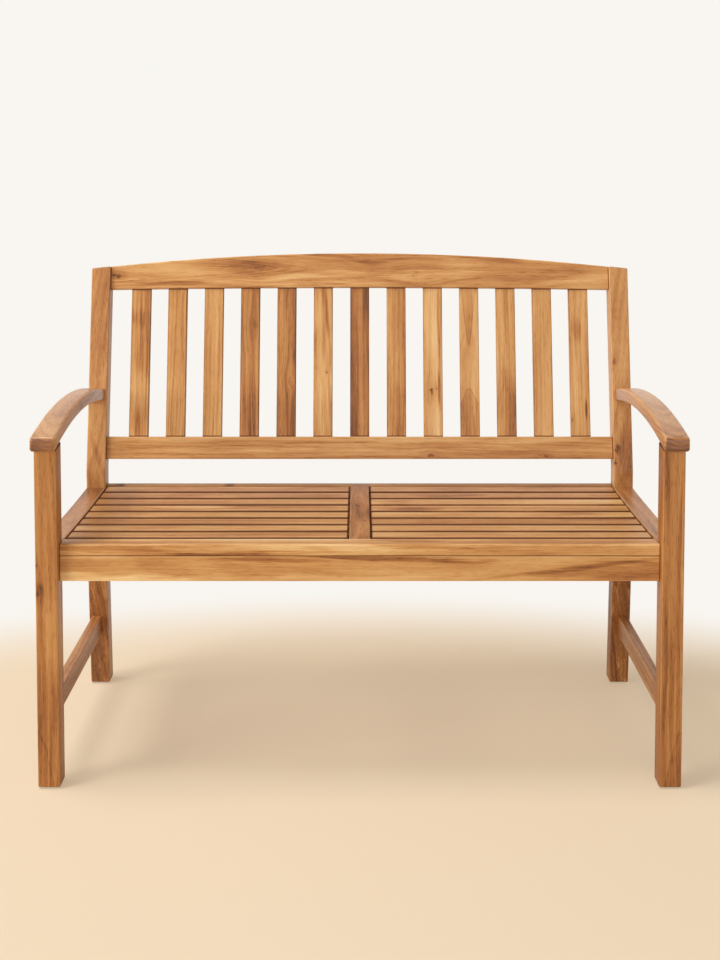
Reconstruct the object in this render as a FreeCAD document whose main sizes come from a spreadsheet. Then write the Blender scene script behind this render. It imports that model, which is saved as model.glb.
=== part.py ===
# Companion seat bench: a two-place slatted garden bench in oiled hardwood, in millimetres, +Z up.
# Its origin is on the floor, midway across the width and midway between the arm noses and the back's top.
import FreeCAD, Part
import math
import os
from dataclasses import dataclass

import Sketcher

Vector = FreeCAD.Vector
Rotation = FreeCAD.Rotation
Placement = FreeCAD.Placement

# Driving sizes: name, value, what it measures
DRIVING_SIZES = (
    ("overall_width", 1200, "across the outer edges of the two arms"),
    ("stock", 41, "section of the legs, posts and seat side rails"),
    ("side_frame_gap", 422, "clear depth between a front leg and its rear post"),
    ("edge_radius", 2, "eased edges of rails, slats and cleats"),
    ("leg_edge_radius", 2.5, "eased edges of legs and posts"),
    ("glide_height", 3, "glide under each foot"),
    ("glide_radius", 8, "glide's rim"),
    ("glide_edge_radius", 0.8, "glide's rounded lower rim"),
    ("nail_radius", 1.25, "glide nail's shank"),
    ("nail_length", 16, "glide nail under its head"),
    ("nail_head_radius", 2.6, "glide nail's head"),
    ("nail_head_height", 0.8, "glide nail's head"),
    ("nail_sink", 1, "glide nail's head above the floor"),
    ("foot_rake", 4.8, "backward rake of the rear foot, in degrees"),
    ("knee_height", 325, "where the raked foot turns upright"),
    ("bend_height", 482, "where the upright post turns into the reclined back"),
    ("bend_radius", 60, "easing of the post's two bends"),
    ("recline", 11.3, "lean of the back, in degrees"),
    ("back_length", 478, "from the bend to the crest, along the back"),
    ("crest_rise", 30, "rise of the top rail's upper edge between the posts"),
    ("under_rise", 4.8, "rise of the top rail's lower edge between the posts"),
    ("top_rail_depth", 76, "top rail at the crest"),
    ("lower_rail_depth", 48, "lower back rail"),
    ("lower_rail_start", 26, "from the bend to the lower back rail, along the back"),
    ("back_rail_thickness", 24, "top and lower back rails"),
    ("back_slat_width", 42, "upright slat"),
    ("back_slat_pitch", 80.8, "from one upright slat to the next"),
    ("back_slat_thickness", 16, "upright slat"),
    ("slat_tenon_length", 12, "tenon at each end of an upright slat"),
    ("slat_tenon_thickness", 8, "tenon of an upright slat"),
    ("slat_tenon_width", 30, "tenon of an upright slat"),
    ("arm_side_overhang", 6, "arm beyond the leg's outer face"),
    ("arm_front_overhang", 8, "arm nose beyond the leg's front face"),
    ("arm_height", 657.5, "top of the arm at its nose and at the post"),
    ("arm_rise", 25.5, "rise of the arm's arch above its ends"),
    ("arm_thickness", 27, "arm"),
    ("arm_taper", 6, "by how much the arm narrows from its nose to the post"),
    ("arm_nose_radius", 9, "rounded upper edge of the arm's nose"),
    ("arm_edge_radius", 5.5, "rounded sides and lower edges of the arm"),
    ("stretcher_height", 157.5, "top of the side stretcher"),
    ("stretcher_depth", 43, "side stretcher"),
    ("stretcher_thickness", 20, "side stretcher"),
    ("stretcher_inset", 6.5, "from the leg's outer face to the stretcher"),
    ("seat_height", 455.5, "front edge of the seat"),
    ("side_rail_front_drop", 2.5, "from the seat's front edge down to the side rail at the leg"),
    ("side_rail_rear_drop", 10, "from the seat's front edge down to the side rail at the post"),
    ("seat_dish", 2.75, "hollow of the seat below its straight line"),
    ("side_rail_depth", 57, "seat side rail at the rear"),
    ("side_tenon_drop", 21.5, "from the side rail's top at the post down to the middle of its tenons"),
    ("seat_setback", 15, "apron and seat front rail behind the leg's front face"),
    ("front_rail_width", 43, "seat front rail, front to back"),
    ("front_rail_thickness", 23, "seat front rail at its front edge"),
    ("front_rail_fall", 3, "seat front rail's top, from front to back"),
    ("front_rail_radius", 4, "rounded front edge of the seat"),
    ("apron_depth", 47, "front apron"),
    ("apron_thickness", 19, "front apron"),
    ("rear_rail_depth", 60, "seat rear rail"),
    ("rear_rail_thickness", 19, "seat rear rail"),
    ("centre_rail_width", 40, "seat centre rail"),
    ("centre_rail_depth", 50, "seat centre rail at the rear"),
    ("seat_slat_width", 41, "seat slat, front to back"),
    ("seat_slat_thickness", 18, "seat slat"),
    ("seat_slat_end_gap", 3, "from a seat slat's end to the rail beside it"),
    ("cleat_width", 20, "cleat that carries the slat ends"),
    ("cleat_depth", 22, "cleat that carries the slat ends"),
    ("cleat_end_gap", 2, "from a cleat's end to the rail beside it"),
    ("cleat_play", 0.1, "left between a seat slat and its cleat"),
    ("tenon_length", 25, "mortises of the side frames"),
    ("tenon_thickness", 12, "tenons of the side rails and arms"),
    ("tenon_height", 26, "tenons of the side rails and stretchers"),
    ("stretcher_tenon_thickness", 10, "tenon of a stretcher"),
    ("arm_tenon_height", 12, "tenon at the arm's rear end"),
    ("leg_tenon_width", 20, "square tenon on top of a front leg"),
    ("leg_tenon_height", 16, "tenon on top of a front leg"),
    ("mortise_spare", 1, "left at the bottom of a mortise"),
    ("joint_play", 0.15, "glue line round tenons, dowels, pins and fasteners"),
    ("pin_radius", 3, "wooden pin through a tenon"),
    ("pin_length", 28, "wooden pin through a tenon"),
    ("dowel_radius", 4, "dowel"),
    ("dowel_length", 30, "dowel"),
    ("dowel_bite", 12, "length of a dowel in the leg, post or cross rail"),
    ("bolt_radius", 3, "frame bolt's shank"),
    ("bolt_length", 72, "frame bolt under its head"),
    ("bolt_head_radius", 6, "frame bolt's head"),
    ("bolt_head_height", 4, "frame bolt's head"),
    ("bolt_socket_radius", 2.9, "hexagon socket in the bolt's head, across its corners"),
    ("bolt_socket_depth", 2.5, "hexagon socket in the bolt's head"),
    ("bolt_sink_radius", 6.75, "counterbore for the bolt's head"),
    ("bolt_sink", 6, "counterbore for the bolt's head"),
    ("bolt_spare", 2, "hole left beyond the bolt's end"),
    ("nut_radius", 5, "barrel nut"),
    ("nut_length", 15, "barrel nut"),
    ("nut_setback", 30, "from the rail's end to the barrel nut"),
    ("screw_radius", 2, "wood screw's shank"),
    ("screw_head_radius", 4, "wood screw's head"),
    ("screw_head_height", 2.5, "wood screw's countersunk head"),
    ("screw_tip_length", 5, "wood screw's point"),
    ("screw_length", 32, "wood screw"),
    ("apron_screw_wood", 20, "apron's wood left under the seat front rail at a screw"),
)

BACK_SLATS = 13
SEAT_SLATS_PER_HALF = 8
CLEAT_SCREWS = 3
APRON_SCREWS = 4
SIDES = (("left", -1), ("right", 1))

X_AXIS = Vector(1, 0, 0)
Z_AXIS = Vector(0, 0, 1)
UP = (0, 0, 1)

doc = FreeCAD.newDocument("companion_seat_bench")
sheet = doc.addObject("Spreadsheet::Sheet", "Sizes")
worked = doc.addObject("Spreadsheet::Sheet", "Worked")
worked_names = []
pieces = []


class Size:
    """A length, angle or ratio that holds its value and the expression that binds it to the sheets."""

    def __init__(self, text, value):
        self.text = text
        self.value = float(value)

    def __add__(self, other):
        other = as_size(other)
        return Size(f"({self.text} + {other.text})", self.value + other.value)

    def __sub__(self, other):
        other = as_size(other)
        return Size(f"({self.text} - {other.text})", self.value - other.value)

    def __mul__(self, other):
        other = as_size(other)
        return Size(f"({self.text} * {other.text})", self.value * other.value)

    def __truediv__(self, other):
        other = as_size(other)
        return Size(f"({self.text} / {other.text})", self.value / other.value)

    def __neg__(self):
        return Size(f"(0 - {self.text})", -self.value)


def as_size(number):
    """Turns a plain number into a Size, and leaves a Size as it is."""
    if isinstance(number, Size):
        return number
    return Size(f"({number})", number)


def sine(angle):
    return Size(f"sin({angle.text} * 1deg)", math.sin(math.radians(angle.value)))


def cosine(angle):
    return Size(f"cos({angle.text} * 1deg)", math.cos(math.radians(angle.value)))


def tangent(angle):
    return Size(f"tan({angle.text} * 1deg)", math.tan(math.radians(angle.value)))


def root(square):
    return Size(f"sqrt({square.text})", math.sqrt(square.value))


def squared(length):
    return length * length


def arc_radius(half_chord, rise):
    """Radius of the arc that rises so far over its chord."""
    return (squared(half_chord) + squared(rise)) / (rise * 2)


def fill_sheet():
    """Writes the driving sizes into the sheet and gives them back by name."""
    named = {}
    for row, (name, value, meaning) in enumerate(DRIVING_SIZES, start=1):
        sheet.set(f"A{row}", meaning)
        sheet.set(f"B{row}", str(value))
        sheet.setAlias(f"B{row}", name)
        named[name] = Size(f"Sizes.{name}", value)
    return named


def work_out(name, formula):
    """Keeps a worked-out size in the second sheet under its own name."""
    worked_names.append(name)
    row = len(worked_names)
    worked.set(f"A{row}", name.replace("_", " "))
    worked.set(f"B{row}", f"={formula.text}")
    worked.setAlias(f"B{row}", name)
    return Size(f"Worked.{name}", formula.value)


SIZES = fill_sheet()
doc.recompute()


def size(name):
    return SIZES[name]


# Across the bench
half_width = work_out("half_width", size("overall_width") / 2)
leg_outer = work_out("leg_outer", half_width - size("arm_side_overhang"))
leg_inner = work_out("leg_inner", leg_outer - size("stock"))
leg_centre = work_out("leg_centre", leg_outer - size("stock") / 2)

# Along the depth: the back's lean decides how far the bench reaches behind its upright posts
lean_sine = work_out("lean_sine", sine(size("recline")))
lean_cosine = work_out("lean_cosine", cosine(size("recline")))
lean_tangent = work_out("lean_tangent", tangent(size("recline")))
post_top = work_out("post_top", size("back_length") - size("crest_rise"))
back_reach = work_out(
    "back_reach",
    (size("stock") - size("leg_edge_radius")) * lean_cosine
    + (post_top - size("leg_edge_radius")) * lean_sine
    + size("leg_edge_radius"),
)
overall_depth = work_out(
    "overall_depth",
    size("arm_front_overhang") + size("stock") + size("side_frame_gap") + back_reach,
)
nose_y = work_out("nose_y", -(overall_depth / 2))
leg_front = work_out("leg_front", nose_y + size("arm_front_overhang"))
leg_back = work_out("leg_back", leg_front + size("stock"))
leg_middle_y = work_out("leg_middle_y", leg_front + size("stock") / 2)
post_front = work_out("post_front", leg_back + size("side_frame_gap"))
post_back = work_out("post_back", post_front + size("stock"))

# Arch of the arms: both arcs share one centre, midway between the nose and the post
arm_rear_y = work_out("arm_rear_y", post_front + (size("arm_height") - size("bend_height")) * lean_tangent)
arm_half_span = work_out("arm_half_span", (arm_rear_y - nose_y) / 2)
arm_radius = work_out("arm_radius", arc_radius(arm_half_span, size("arm_rise")))
arm_under_radius = work_out("arm_under_radius", arm_radius - size("arm_thickness"))
arm_centre_y = work_out("arm_centre_y", nose_y + arm_half_span)
arm_centre_z = work_out("arm_centre_z", size("arm_height") + size("arm_rise") - arm_radius)

# The arm's rear end follows the reclined post down from the arm's top to its underside
arm_end_reach = work_out(
    "arm_end_reach",
    arm_half_span * lean_sine + (size("arm_height") - arm_centre_z) * lean_cosine,
)
arm_end_depth = work_out(
    "arm_end_depth",
    arm_end_reach - root(squared(arm_end_reach) - squared(arm_radius) + squared(arm_under_radius)),
)

# Dish of the seat: one hollow arc through the tops of the side rail's two ends
side_rail_front_top = work_out("side_rail_front_top", size("seat_height") - size("side_rail_front_drop"))
side_rail_rear_top = work_out("side_rail_rear_top", size("seat_height") - size("side_rail_rear_drop"))
dish_fall = work_out("dish_fall", side_rail_front_top - side_rail_rear_top)
dish_chord = work_out("dish_chord", root(squared(size("side_frame_gap")) + squared(dish_fall)))
dish_radius = work_out("dish_radius", arc_radius(dish_chord / 2, size("seat_dish")))
dish_lift = work_out("dish_lift", dish_radius - size("seat_dish"))
dish_centre_y = work_out("dish_centre_y", (leg_back + post_front) / 2 + dish_lift * dish_fall / dish_chord)
dish_centre_z = work_out(
    "dish_centre_z",
    (side_rail_front_top + side_rail_rear_top) / 2
    + dish_lift * size("side_frame_gap") / dish_chord,
)

# Seat, front to back and from the top down
seat_front = work_out("seat_front", leg_front + size("seat_setback"))
apron_back = work_out("apron_back", seat_front + size("apron_thickness"))
front_rail_back = work_out("front_rail_back", seat_front + size("front_rail_width"))
rear_rail_front = work_out("rear_rail_front", post_back - size("rear_rail_thickness"))
slat_gap = work_out(
    "slat_gap",
    (rear_rail_front - front_rail_back - size("seat_slat_width") * SEAT_SLATS_PER_HALF)
    / (SEAT_SLATS_PER_HALF + 1),
)
slat_step = work_out("slat_step", slat_gap + size("seat_slat_width"))
front_rail_bottom = work_out("front_rail_bottom", size("seat_height") - size("front_rail_thickness"))
apron_bottom = work_out("apron_bottom", front_rail_bottom - size("apron_depth"))
side_rail_bottom = work_out("side_rail_bottom", side_rail_rear_top - size("side_rail_depth"))
rear_rail_bottom = work_out("rear_rail_bottom", side_rail_rear_top - size("rear_rail_depth"))
centre_rail_bottom = work_out("centre_rail_bottom", side_rail_rear_top - size("centre_rail_depth"))
centre_half = work_out("centre_half", size("centre_rail_width") / 2)
centre_dowel_x = work_out("centre_dowel_x", size("centre_rail_width") / 4)
centre_dowel_z = work_out("centre_dowel_z", (centre_rail_bottom + front_rail_bottom) / 2)
cleat_drop = work_out("cleat_drop", size("seat_slat_thickness") + size("cleat_play"))
cleat_under_drop = work_out("cleat_under_drop", cleat_drop + size("cleat_depth"))
cleat_front = work_out("cleat_front", front_rail_back + size("cleat_end_gap"))
cleat_back = work_out("cleat_back", rear_rail_front - size("cleat_end_gap"))

# Side frames: tenons at the rails' ends and the raked rear foot
tenon_reach = work_out("tenon_reach", (size("tenon_length") - size("mortise_spare")) * 2)
side_tenon_z = work_out("side_tenon_z", side_rail_rear_top - size("side_tenon_drop"))
front_pin_y = work_out("front_pin_y", leg_back - size("tenon_length") / 2)
rear_pin_y = work_out("rear_pin_y", post_front + size("tenon_length") / 2)
stretcher_bottom = work_out("stretcher_bottom", size("stretcher_height") - size("stretcher_depth"))
stretcher_tenon_z = work_out("stretcher_tenon_z", size("stretcher_height") - size("stretcher_depth") / 2)
stretcher_centre = work_out(
    "stretcher_centre",
    leg_outer - size("stretcher_inset") - size("stretcher_thickness") / 2,
)
rake_tangent = work_out("rake_tangent", tangent(size("foot_rake")))
half_rake_tangent = work_out("half_rake_tangent", tangent(size("foot_rake") / 2))
half_lean_tangent = work_out("half_lean_tangent", tangent(size("recline") / 2))


def post_front_at(height):
    """Front face of the raked foot at a height."""
    return post_front + (size("knee_height") - height) * rake_tangent


foot_front_y = work_out("foot_front_y", post_front_at(size("glide_height")))
foot_back_y = work_out("foot_back_y", foot_front_y + size("stock") / cosine(size("foot_rake")))
foot_middle_y = work_out("foot_middle_y", (foot_front_y + foot_back_y) / 2)
stretcher_end_y = work_out("stretcher_end_y", post_front_at(stretcher_tenon_z))
stretcher_pin_y = work_out("stretcher_pin_y", stretcher_end_y + size("tenon_length") / 2)
arm_tenon_z = work_out("arm_tenon_z", size("arm_height") - size("arm_thickness") / 2)
arm_tenon_y = work_out("arm_tenon_y", post_front + (arm_tenon_z - size("bend_height")) * lean_tangent)
arm_pin_y = work_out("arm_pin_y", arm_tenon_y + size("tenon_length") / 2)

# Back, in its own leaning frame: x across, y from the posts' front face rearwards, z up along the back
rail_front = work_out("rail_front", (size("stock") - size("back_rail_thickness")) / 2)
slat_front = work_out("slat_front", (size("stock") - size("back_slat_thickness")) / 2)
back_middle = work_out("back_middle", size("stock") / 2)
lower_rail_top = work_out("lower_rail_top", size("lower_rail_start") + size("lower_rail_depth"))
crest_radius = work_out("crest_radius", arc_radius(leg_inner, size("crest_rise")))
under_radius = work_out("under_radius", arc_radius(leg_inner, size("under_rise")))
under_top = work_out("under_top", size("back_length") - size("top_rail_depth"))
top_rail_end_bottom = work_out("top_rail_end_bottom", under_top - size("under_rise"))
top_rail_end_depth = work_out("top_rail_end_depth", post_top - top_rail_end_bottom)


def arm_under_height(depth):
    """Height of the arm's underside at a depth."""
    return arm_centre_z + root(squared(arm_under_radius) - squared(depth - arm_centre_y))


def dish_height(depth, drop=as_size(0)):
    """Height of the seat's hollow at a depth, or of the arc that runs a drop below it."""
    return dish_centre_z - root(squared(dish_radius + drop) - squared(depth - dish_centre_y))


def crest_height(across):
    """Upper edge of the back at a distance from the middle, along the back."""
    return size("back_length") - crest_radius + root(squared(crest_radius) - squared(across))


def under_height(across):
    """Lower edge of the top rail at a distance from the middle, along the back."""
    return under_top - under_radius + root(squared(under_radius) - squared(across))


def back_to_bench(depth, height):
    """Depth and height in the bench's frame of a point given in the back's leaning frame."""
    bench_y = post_front + depth * lean_cosine + height * lean_sine
    bench_z = size("bend_height") + height * lean_cosine - depth * lean_sine
    return bench_y, bench_z


leg_top_z = work_out("leg_top_z", arm_under_height(leg_middle_y))


def advance(position, direction, length):
    """The point a length further along a direction."""
    return tuple(
        as_size(start) + as_size(length) * as_size(share) for start, share in zip(position, direction)
    )


def turn_to(direction):
    """Rotation that points an upright solid along a direction."""
    return Rotation(Z_AXIS, Vector(*(as_size(share).value for share in direction)))


def bind(feature, **lengths):
    """Ties properties of a feature to the sheets."""
    for name, length in lengths.items():
        feature.setExpression(name, as_size(length).text)


def bind_position(feature, position):
    """Ties a feature's place to the sheets."""
    for axis, length in zip("xyz", position):
        feature.setExpression(f"Placement.Base.{axis}", as_size(length).text)


def new_body(label, leaning=False):
    """Starts a piece in the bench's frame or in the back's leaning frame."""
    body = doc.addObject("PartDesign::Body", label)
    body.Label = label
    if leaning:
        body.Placement = Placement(Vector(), Rotation(-X_AXIS, size("recline").value))
        body.setExpression("Placement.Rotation.Angle", size("recline").text)
        bind_position(body, (0, post_front, size("bend_height")))
    pieces.append(body)
    return body


def arc_middle(start, end, radius, side):
    """Middle point of the arc from start to end that bows to the left (+1) or to the right (-1)."""
    chord = end - start
    sagitta = radius - math.sqrt(radius * radius - chord.Length ** 2 / 4)
    left = Vector(-chord.y, chord.x, 0).normalize()
    return (start + end) * 0.5 + left * sagitta * side


def draw(body, name, role, corners, offset, leaning=False):
    """Draws a closed outline parallel to an origin plane of the body.

    Each corner is (across, up), or (across, up, radius, side) where an arc starts there.
    A leaning outline is tilted about the post's bend, as the back is.
    """
    sketch = body.newObject("Sketcher::SketchObject", name)
    plane = [feature for feature in body.Origin.OriginFeatures if feature.Role == role][0]
    sketch.AttachmentSupport = (plane, "")
    sketch.MapMode = "FlatFace"
    if leaning:
        sketch.AttachmentOffset = Placement(Vector(), Rotation(-X_AXIS, size("recline").value))
        sketch.setExpression("AttachmentOffset.Rotation.Angle", size("recline").text)
        sketch.setExpression("AttachmentOffset.Base.y", size("bend_height").text)
    sketch.setExpression("AttachmentOffset.Base.z", offset.text)
    points = [Vector(as_size(corner[0]).value, as_size(corner[1]).value, 0) for corner in corners]
    # An arc that bows to the left runs clockwise, so it is drawn from its far end and starts at its point 2
    starts = [2 if len(corner) == 4 and corner[3] > 0 else 1 for corner in corners]
    for corner, first, start, end in zip(corners, starts, points, points[1:] + points[:1]):
        if len(corner) < 4:
            sketch.addGeometry(Part.LineSegment(start, end))
            continue
        middle = arc_middle(start, end, corner[2].value, corner[3])
        sketch.addGeometry(Part.Arc(end, middle, start) if first == 2 else Part.Arc(start, middle, end))
    for index, corner in enumerate(corners):
        follower = (index + 1) % len(corners)
        sketch.addConstraint(
            Sketcher.Constraint("Coincident", index, 3 - starts[index], follower, starts[follower])
        )
        for kind, length in (("DistanceX", as_size(corner[0])), ("DistanceY", as_size(corner[1]))):
            number = sketch.addConstraint(
                Sketcher.Constraint(kind, -1, 1, index, starts[index], length.value)
            )
            sketch.setExpression(f"Constraints[{number}]", length.text)
        if len(corner) == 4:
            number = sketch.addConstraint(Sketcher.Constraint("Radius", index, corner[2].value))
            sketch.setExpression(f"Constraints[{number}]", corner[2].text)
    return sketch


def pad(body, sketch, length, backwards=False):
    """Gives an outline its thickness."""
    feature = body.newObject("PartDesign::Pad", f"{body.Name}_pad")
    feature.Profile = sketch
    feature.Reversed = backwards
    bind(feature, Length=length)
    doc.recompute()


def cut_outline(body, sketch, length):
    """Cuts an outline through a body, behind the sketch."""
    feature = body.newObject("PartDesign::Pocket", f"{sketch.Name}_cut")
    feature.Profile = sketch
    bind(feature, Length=length)
    doc.recompute()


def turns_at(shape, edge, least_turn):
    """Whether two faces meet along an edge at more than so many degrees."""
    middle = edge.valueAt((edge.FirstParameter + edge.LastParameter) / 2)
    normals = []
    for face in shape.Faces:
        if any(edge.isSame(other) for other in face.Edges):
            normals.append(face.normalAt(*face.Surface.parameter(middle)))
    return len(normals) == 2 and normals[0].getAngle(normals[1]) > math.radians(least_turn)


def round_edges(body, name, radius, wanted=lambda edge: True, least_turn=20):
    """Rounds the corner edges of a body that pass a test."""
    base = body.Tip
    names = []
    for number, edge in enumerate(base.Shape.Edges, start=1):
        if wanted(edge) and turns_at(base.Shape, edge, least_turn):
            names.append(f"Edge{number}")
    feature = body.newObject("PartDesign::Fillet", f"{body.Name}_{name}")
    feature.Base = (base, names)
    bind(feature, Radius=radius)
    doc.recompute()


def runs_along(edge, axis):
    """Whether an edge runs mostly along an axis."""
    return getattr(edge.BoundBox, f"{axis}Length") > 0.7 * edge.Length


def ease(body, axis):
    """Eases the long edges of a piece that runs along an axis."""
    round_edges(body, "long_edges", size("edge_radius"), lambda edge: runs_along(edge, axis))


def box_feature(body, kind, name, centre, extent):
    """Adds or cuts a box about its centre."""
    feature = body.newObject(f"PartDesign::{kind}Box", f"{body.Name}_{name}")
    across, deep, high = extent
    bind(feature, Length=across, Width=deep, Height=high)
    bind_position(feature, [as_size(middle) - span / 2 for middle, span in zip(centre, extent)])


def tenon(body, name, centre, extent):
    """Adds a tenon, centred on the shoulder so that its other half lies inside the piece."""
    box_feature(body, "Additive", name, centre, extent)


def mortise(body, name, centre, extent):
    """Cuts the room for a tenon, with the glue line all round."""
    box_feature(body, "Subtractive", name, centre, [span + size("joint_play") * 2 for span in extent])


def bore(body, name, mouth, direction, radius, depth):
    """Cuts a round hole from its mouth along a direction."""
    feature = body.newObject("PartDesign::SubtractiveCylinder", f"{body.Name}_{name}")
    feature.Placement = Placement(Vector(), turn_to(direction))
    bind(feature, Radius=radius, Height=depth)
    bind_position(feature, mouth)


def snug_bore(body, name, mouth, direction, radius, depth):
    """Cuts a hole for a pin, dowel or screw, with play at its side and its end."""
    bore(body, name, mouth, direction, radius + size("joint_play"), depth + size("joint_play"))


def screw_seat(body, name, mouth, direction):
    """Cuts the hole and the countersink of a wood screw, and notes the screw."""
    snug_bore(body, f"{name}_hole", mouth, direction, size("screw_radius"), size("screw_length"))
    feature = body.newObject("PartDesign::SubtractiveCone", f"{body.Name}_{name}_seat")
    feature.Placement = Placement(Vector(), turn_to(direction))
    bind(
        feature,
        Radius1=size("screw_head_radius") + size("joint_play"),
        Radius2=size("screw_radius") + size("joint_play"),
        Height=size("screw_head_height"),
    )
    bind_position(feature, mouth)
    screw_spots.append((mouth, direction))


def screw_hole(body, name, mouth, direction):
    """Cuts the hole of a wood screw that comes through from the next piece."""
    snug_bore(body, name, mouth, direction, size("screw_radius"), size("screw_length"))


def side_blank(label, low_x, thickness, corners):
    """A piece cut to an outline seen from the side of the bench."""
    body = new_body(label)
    pad(body, draw(body, f"{label}_outline", "YZ_Plane", corners, offset=low_x), thickness)
    return body


def front_blank(label, front, thickness, corners, leaning=False):
    """A piece cut to an outline seen from the front of the bench."""
    body = new_body(label, leaning)
    outline = draw(body, f"{label}_outline", "XZ_Plane", corners, offset=-front)
    pad(body, outline, thickness, backwards=True)
    return body


def cross_board(label, front, thickness, bottom, top, leaning=False):
    """A straight board between the two side frames."""
    corners = [(-leg_inner, bottom), (leg_inner, bottom), (leg_inner, top), (-leg_inner, top)]
    body = front_blank(label, front, thickness, corners, leaning)
    ease(body, "X")
    return body


# Fasteners: each spot is where one starts and the direction in which it points
bolt_spots = []
nut_spots = []
dowel_spots = []
pin_spots = []
screw_spots = []
nail_spots = []

nut_x = work_out("nut_x", leg_inner - size("nut_setback"))
bolt_seat_x = work_out("bolt_seat_x", leg_outer - size("bolt_sink"))
dowel_end_x = work_out("dowel_end_x", leg_inner + size("dowel_bite"))
dowel_rest = work_out("dowel_rest", size("dowel_length") - size("dowel_bite"))
rail_bolt_depth = work_out(
    "rail_bolt_depth",
    size("bolt_length") + size("bolt_sink") - size("stock") + size("bolt_spare"),
)
front_dowel_y = work_out("front_dowel_y", leg_back - size("dowel_radius") * 3)
front_dowel_z = work_out("front_dowel_z", size("seat_height") - size("front_rail_thickness") / 2)


@dataclass
class RailJoint:
    """How a cross rail is bolted and dowelled to the legs or posts at both its ends."""

    name: str
    middle_y: Size
    thickness: Size
    bolt_z: Size
    dowel_z: Size
    leaning: bool

    def in_bench(self, depth, height):
        return back_to_bench(depth, height) if self.leaning else (depth, height)

    def cut_in_leg(self, body, side):
        """Counterbores and drills a leg or post, and notes the fasteners of this end."""
        inward = (-side, 0, 0)
        rearward = (0, lean_cosine, -lean_sine) if self.leaning else (0, 1, 0)
        bolt_place = self.in_bench(self.middle_y, self.bolt_z)
        dowel_place = self.in_bench(self.middle_y, self.dowel_z)
        nut_place = self.in_bench(self.middle_y - size("nut_length") / 2, self.bolt_z)
        mouth = (leg_outer * side, *bolt_place)
        bore(body, f"{self.name}_sink", mouth, inward, size("bolt_sink_radius"), size("bolt_sink"))
        snug_bore(body, f"{self.name}_bolt", mouth, inward, size("bolt_radius"), size("stock"))
        snug_bore(body, f"{self.name}_dowel", (leg_inner * side, *dowel_place), (side, 0, 0),
                  size("dowel_radius"), size("dowel_bite"))
        bolt_spots.append(((bolt_seat_x * side, *bolt_place), inward))
        nut_spots.append(((nut_x * side, *nut_place), rearward))
        dowel_spots.append(((dowel_end_x * side, *dowel_place), inward))

    def cut_in_rail(self, body):
        """Drills the rail's ends for the bolts and dowels, and its back face for the nuts."""
        back_face = self.middle_y + self.thickness / 2
        nut_depth = (self.thickness + size("nut_length")) / 2
        for word, side in SIDES:
            end_x = leg_inner * side
            inward = (-side, 0, 0)
            snug_bore(body, f"bolt_{word}", (end_x, self.middle_y, self.bolt_z), inward,
                      size("bolt_radius"), rail_bolt_depth)
            snug_bore(body, f"nut_{word}", (nut_x * side, back_face, self.bolt_z), (0, -1, 0),
                      size("nut_radius"), nut_depth)
            snug_bore(body, f"dowel_{word}", (end_x, self.middle_y, self.dowel_z), inward,
                      size("dowel_radius"), dowel_rest)


def rail_joint(name, front, thickness, bottom, depth, leaning=False):
    """A joint whose bolt runs near the rail's lower edge and whose dowel sits above its middle."""
    return RailJoint(
        name,
        work_out(f"{name}_middle_y", front + thickness / 2),
        thickness,
        work_out(f"{name}_bolt_z", bottom + depth * 0.28),
        work_out(f"{name}_dowel_z", bottom + depth * 0.68),
        leaning,
    )


top_rail_joint = rail_joint(
    "top_rail", rail_front, size("back_rail_thickness"), top_rail_end_bottom, top_rail_end_depth,
    leaning=True,
)
lower_rail_joint = rail_joint(
    "lower_rail", rail_front, size("back_rail_thickness"), size("lower_rail_start"),
    size("lower_rail_depth"), leaning=True,
)
apron_joint = rail_joint(
    "apron", seat_front, size("apron_thickness"), apron_bottom, size("apron_depth")
)
rear_rail_joint = rail_joint(
    "rear_rail", rear_rail_front, size("rear_rail_thickness"), rear_rail_bottom, size("rear_rail_depth")
)

SIDE_TENON = (size("tenon_thickness"), size("tenon_length") * 2, size("tenon_height"))
STRETCHER_TENON = (size("stretcher_tenon_thickness"), size("tenon_length") * 2, size("tenon_height"))
ARM_TENON = (size("tenon_thickness"), size("tenon_length") * 2, size("arm_tenon_height"))
LEG_TENON = (size("leg_tenon_width"), size("leg_tenon_width"), size("leg_tenon_height") * 2)


def pin_hole(body, name, side, depth, height):
    """Drills for a tenon's pin from the outer face of the leg or post."""
    snug_bore(body, f"{name}_pin", (leg_outer * side, depth, height), (-side, 0, 0),
              size("pin_radius"), size("pin_length"))


def pinned_mortise(body, name, side, centre, extent, pin_y):
    """Cuts a tenon's mortise in a leg or post with the hole of its pin, and notes the pin."""
    height = centre[2]
    mortise(body, f"{name}_mortise", centre, extent)
    pin_hole(body, name, side, pin_y, height)
    pin_spots.append(((leg_outer * side, pin_y, height), (-side, 0, 0)))


def pinned_tenon(body, name, side, centre, extent, pin_y):
    """Adds a tenon that stops short of its mortise's bottom, with the hole of its pin."""
    tenon(body, f"{name}_tenon", centre, (extent[0], tenon_reach, extent[2]))
    pin_hole(body, name, side, pin_y, centre[2])


def nail_up(body, centre_x, centre_y):
    """Drills a foot for its glide's nail and notes the nail."""
    snug_bore(body, "nail", (centre_x, centre_y, size("glide_height")), UP,
              size("nail_radius"), size("nail_length"))
    nail_spots.append(((centre_x, centre_y, size("nail_sink")), UP))


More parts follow.
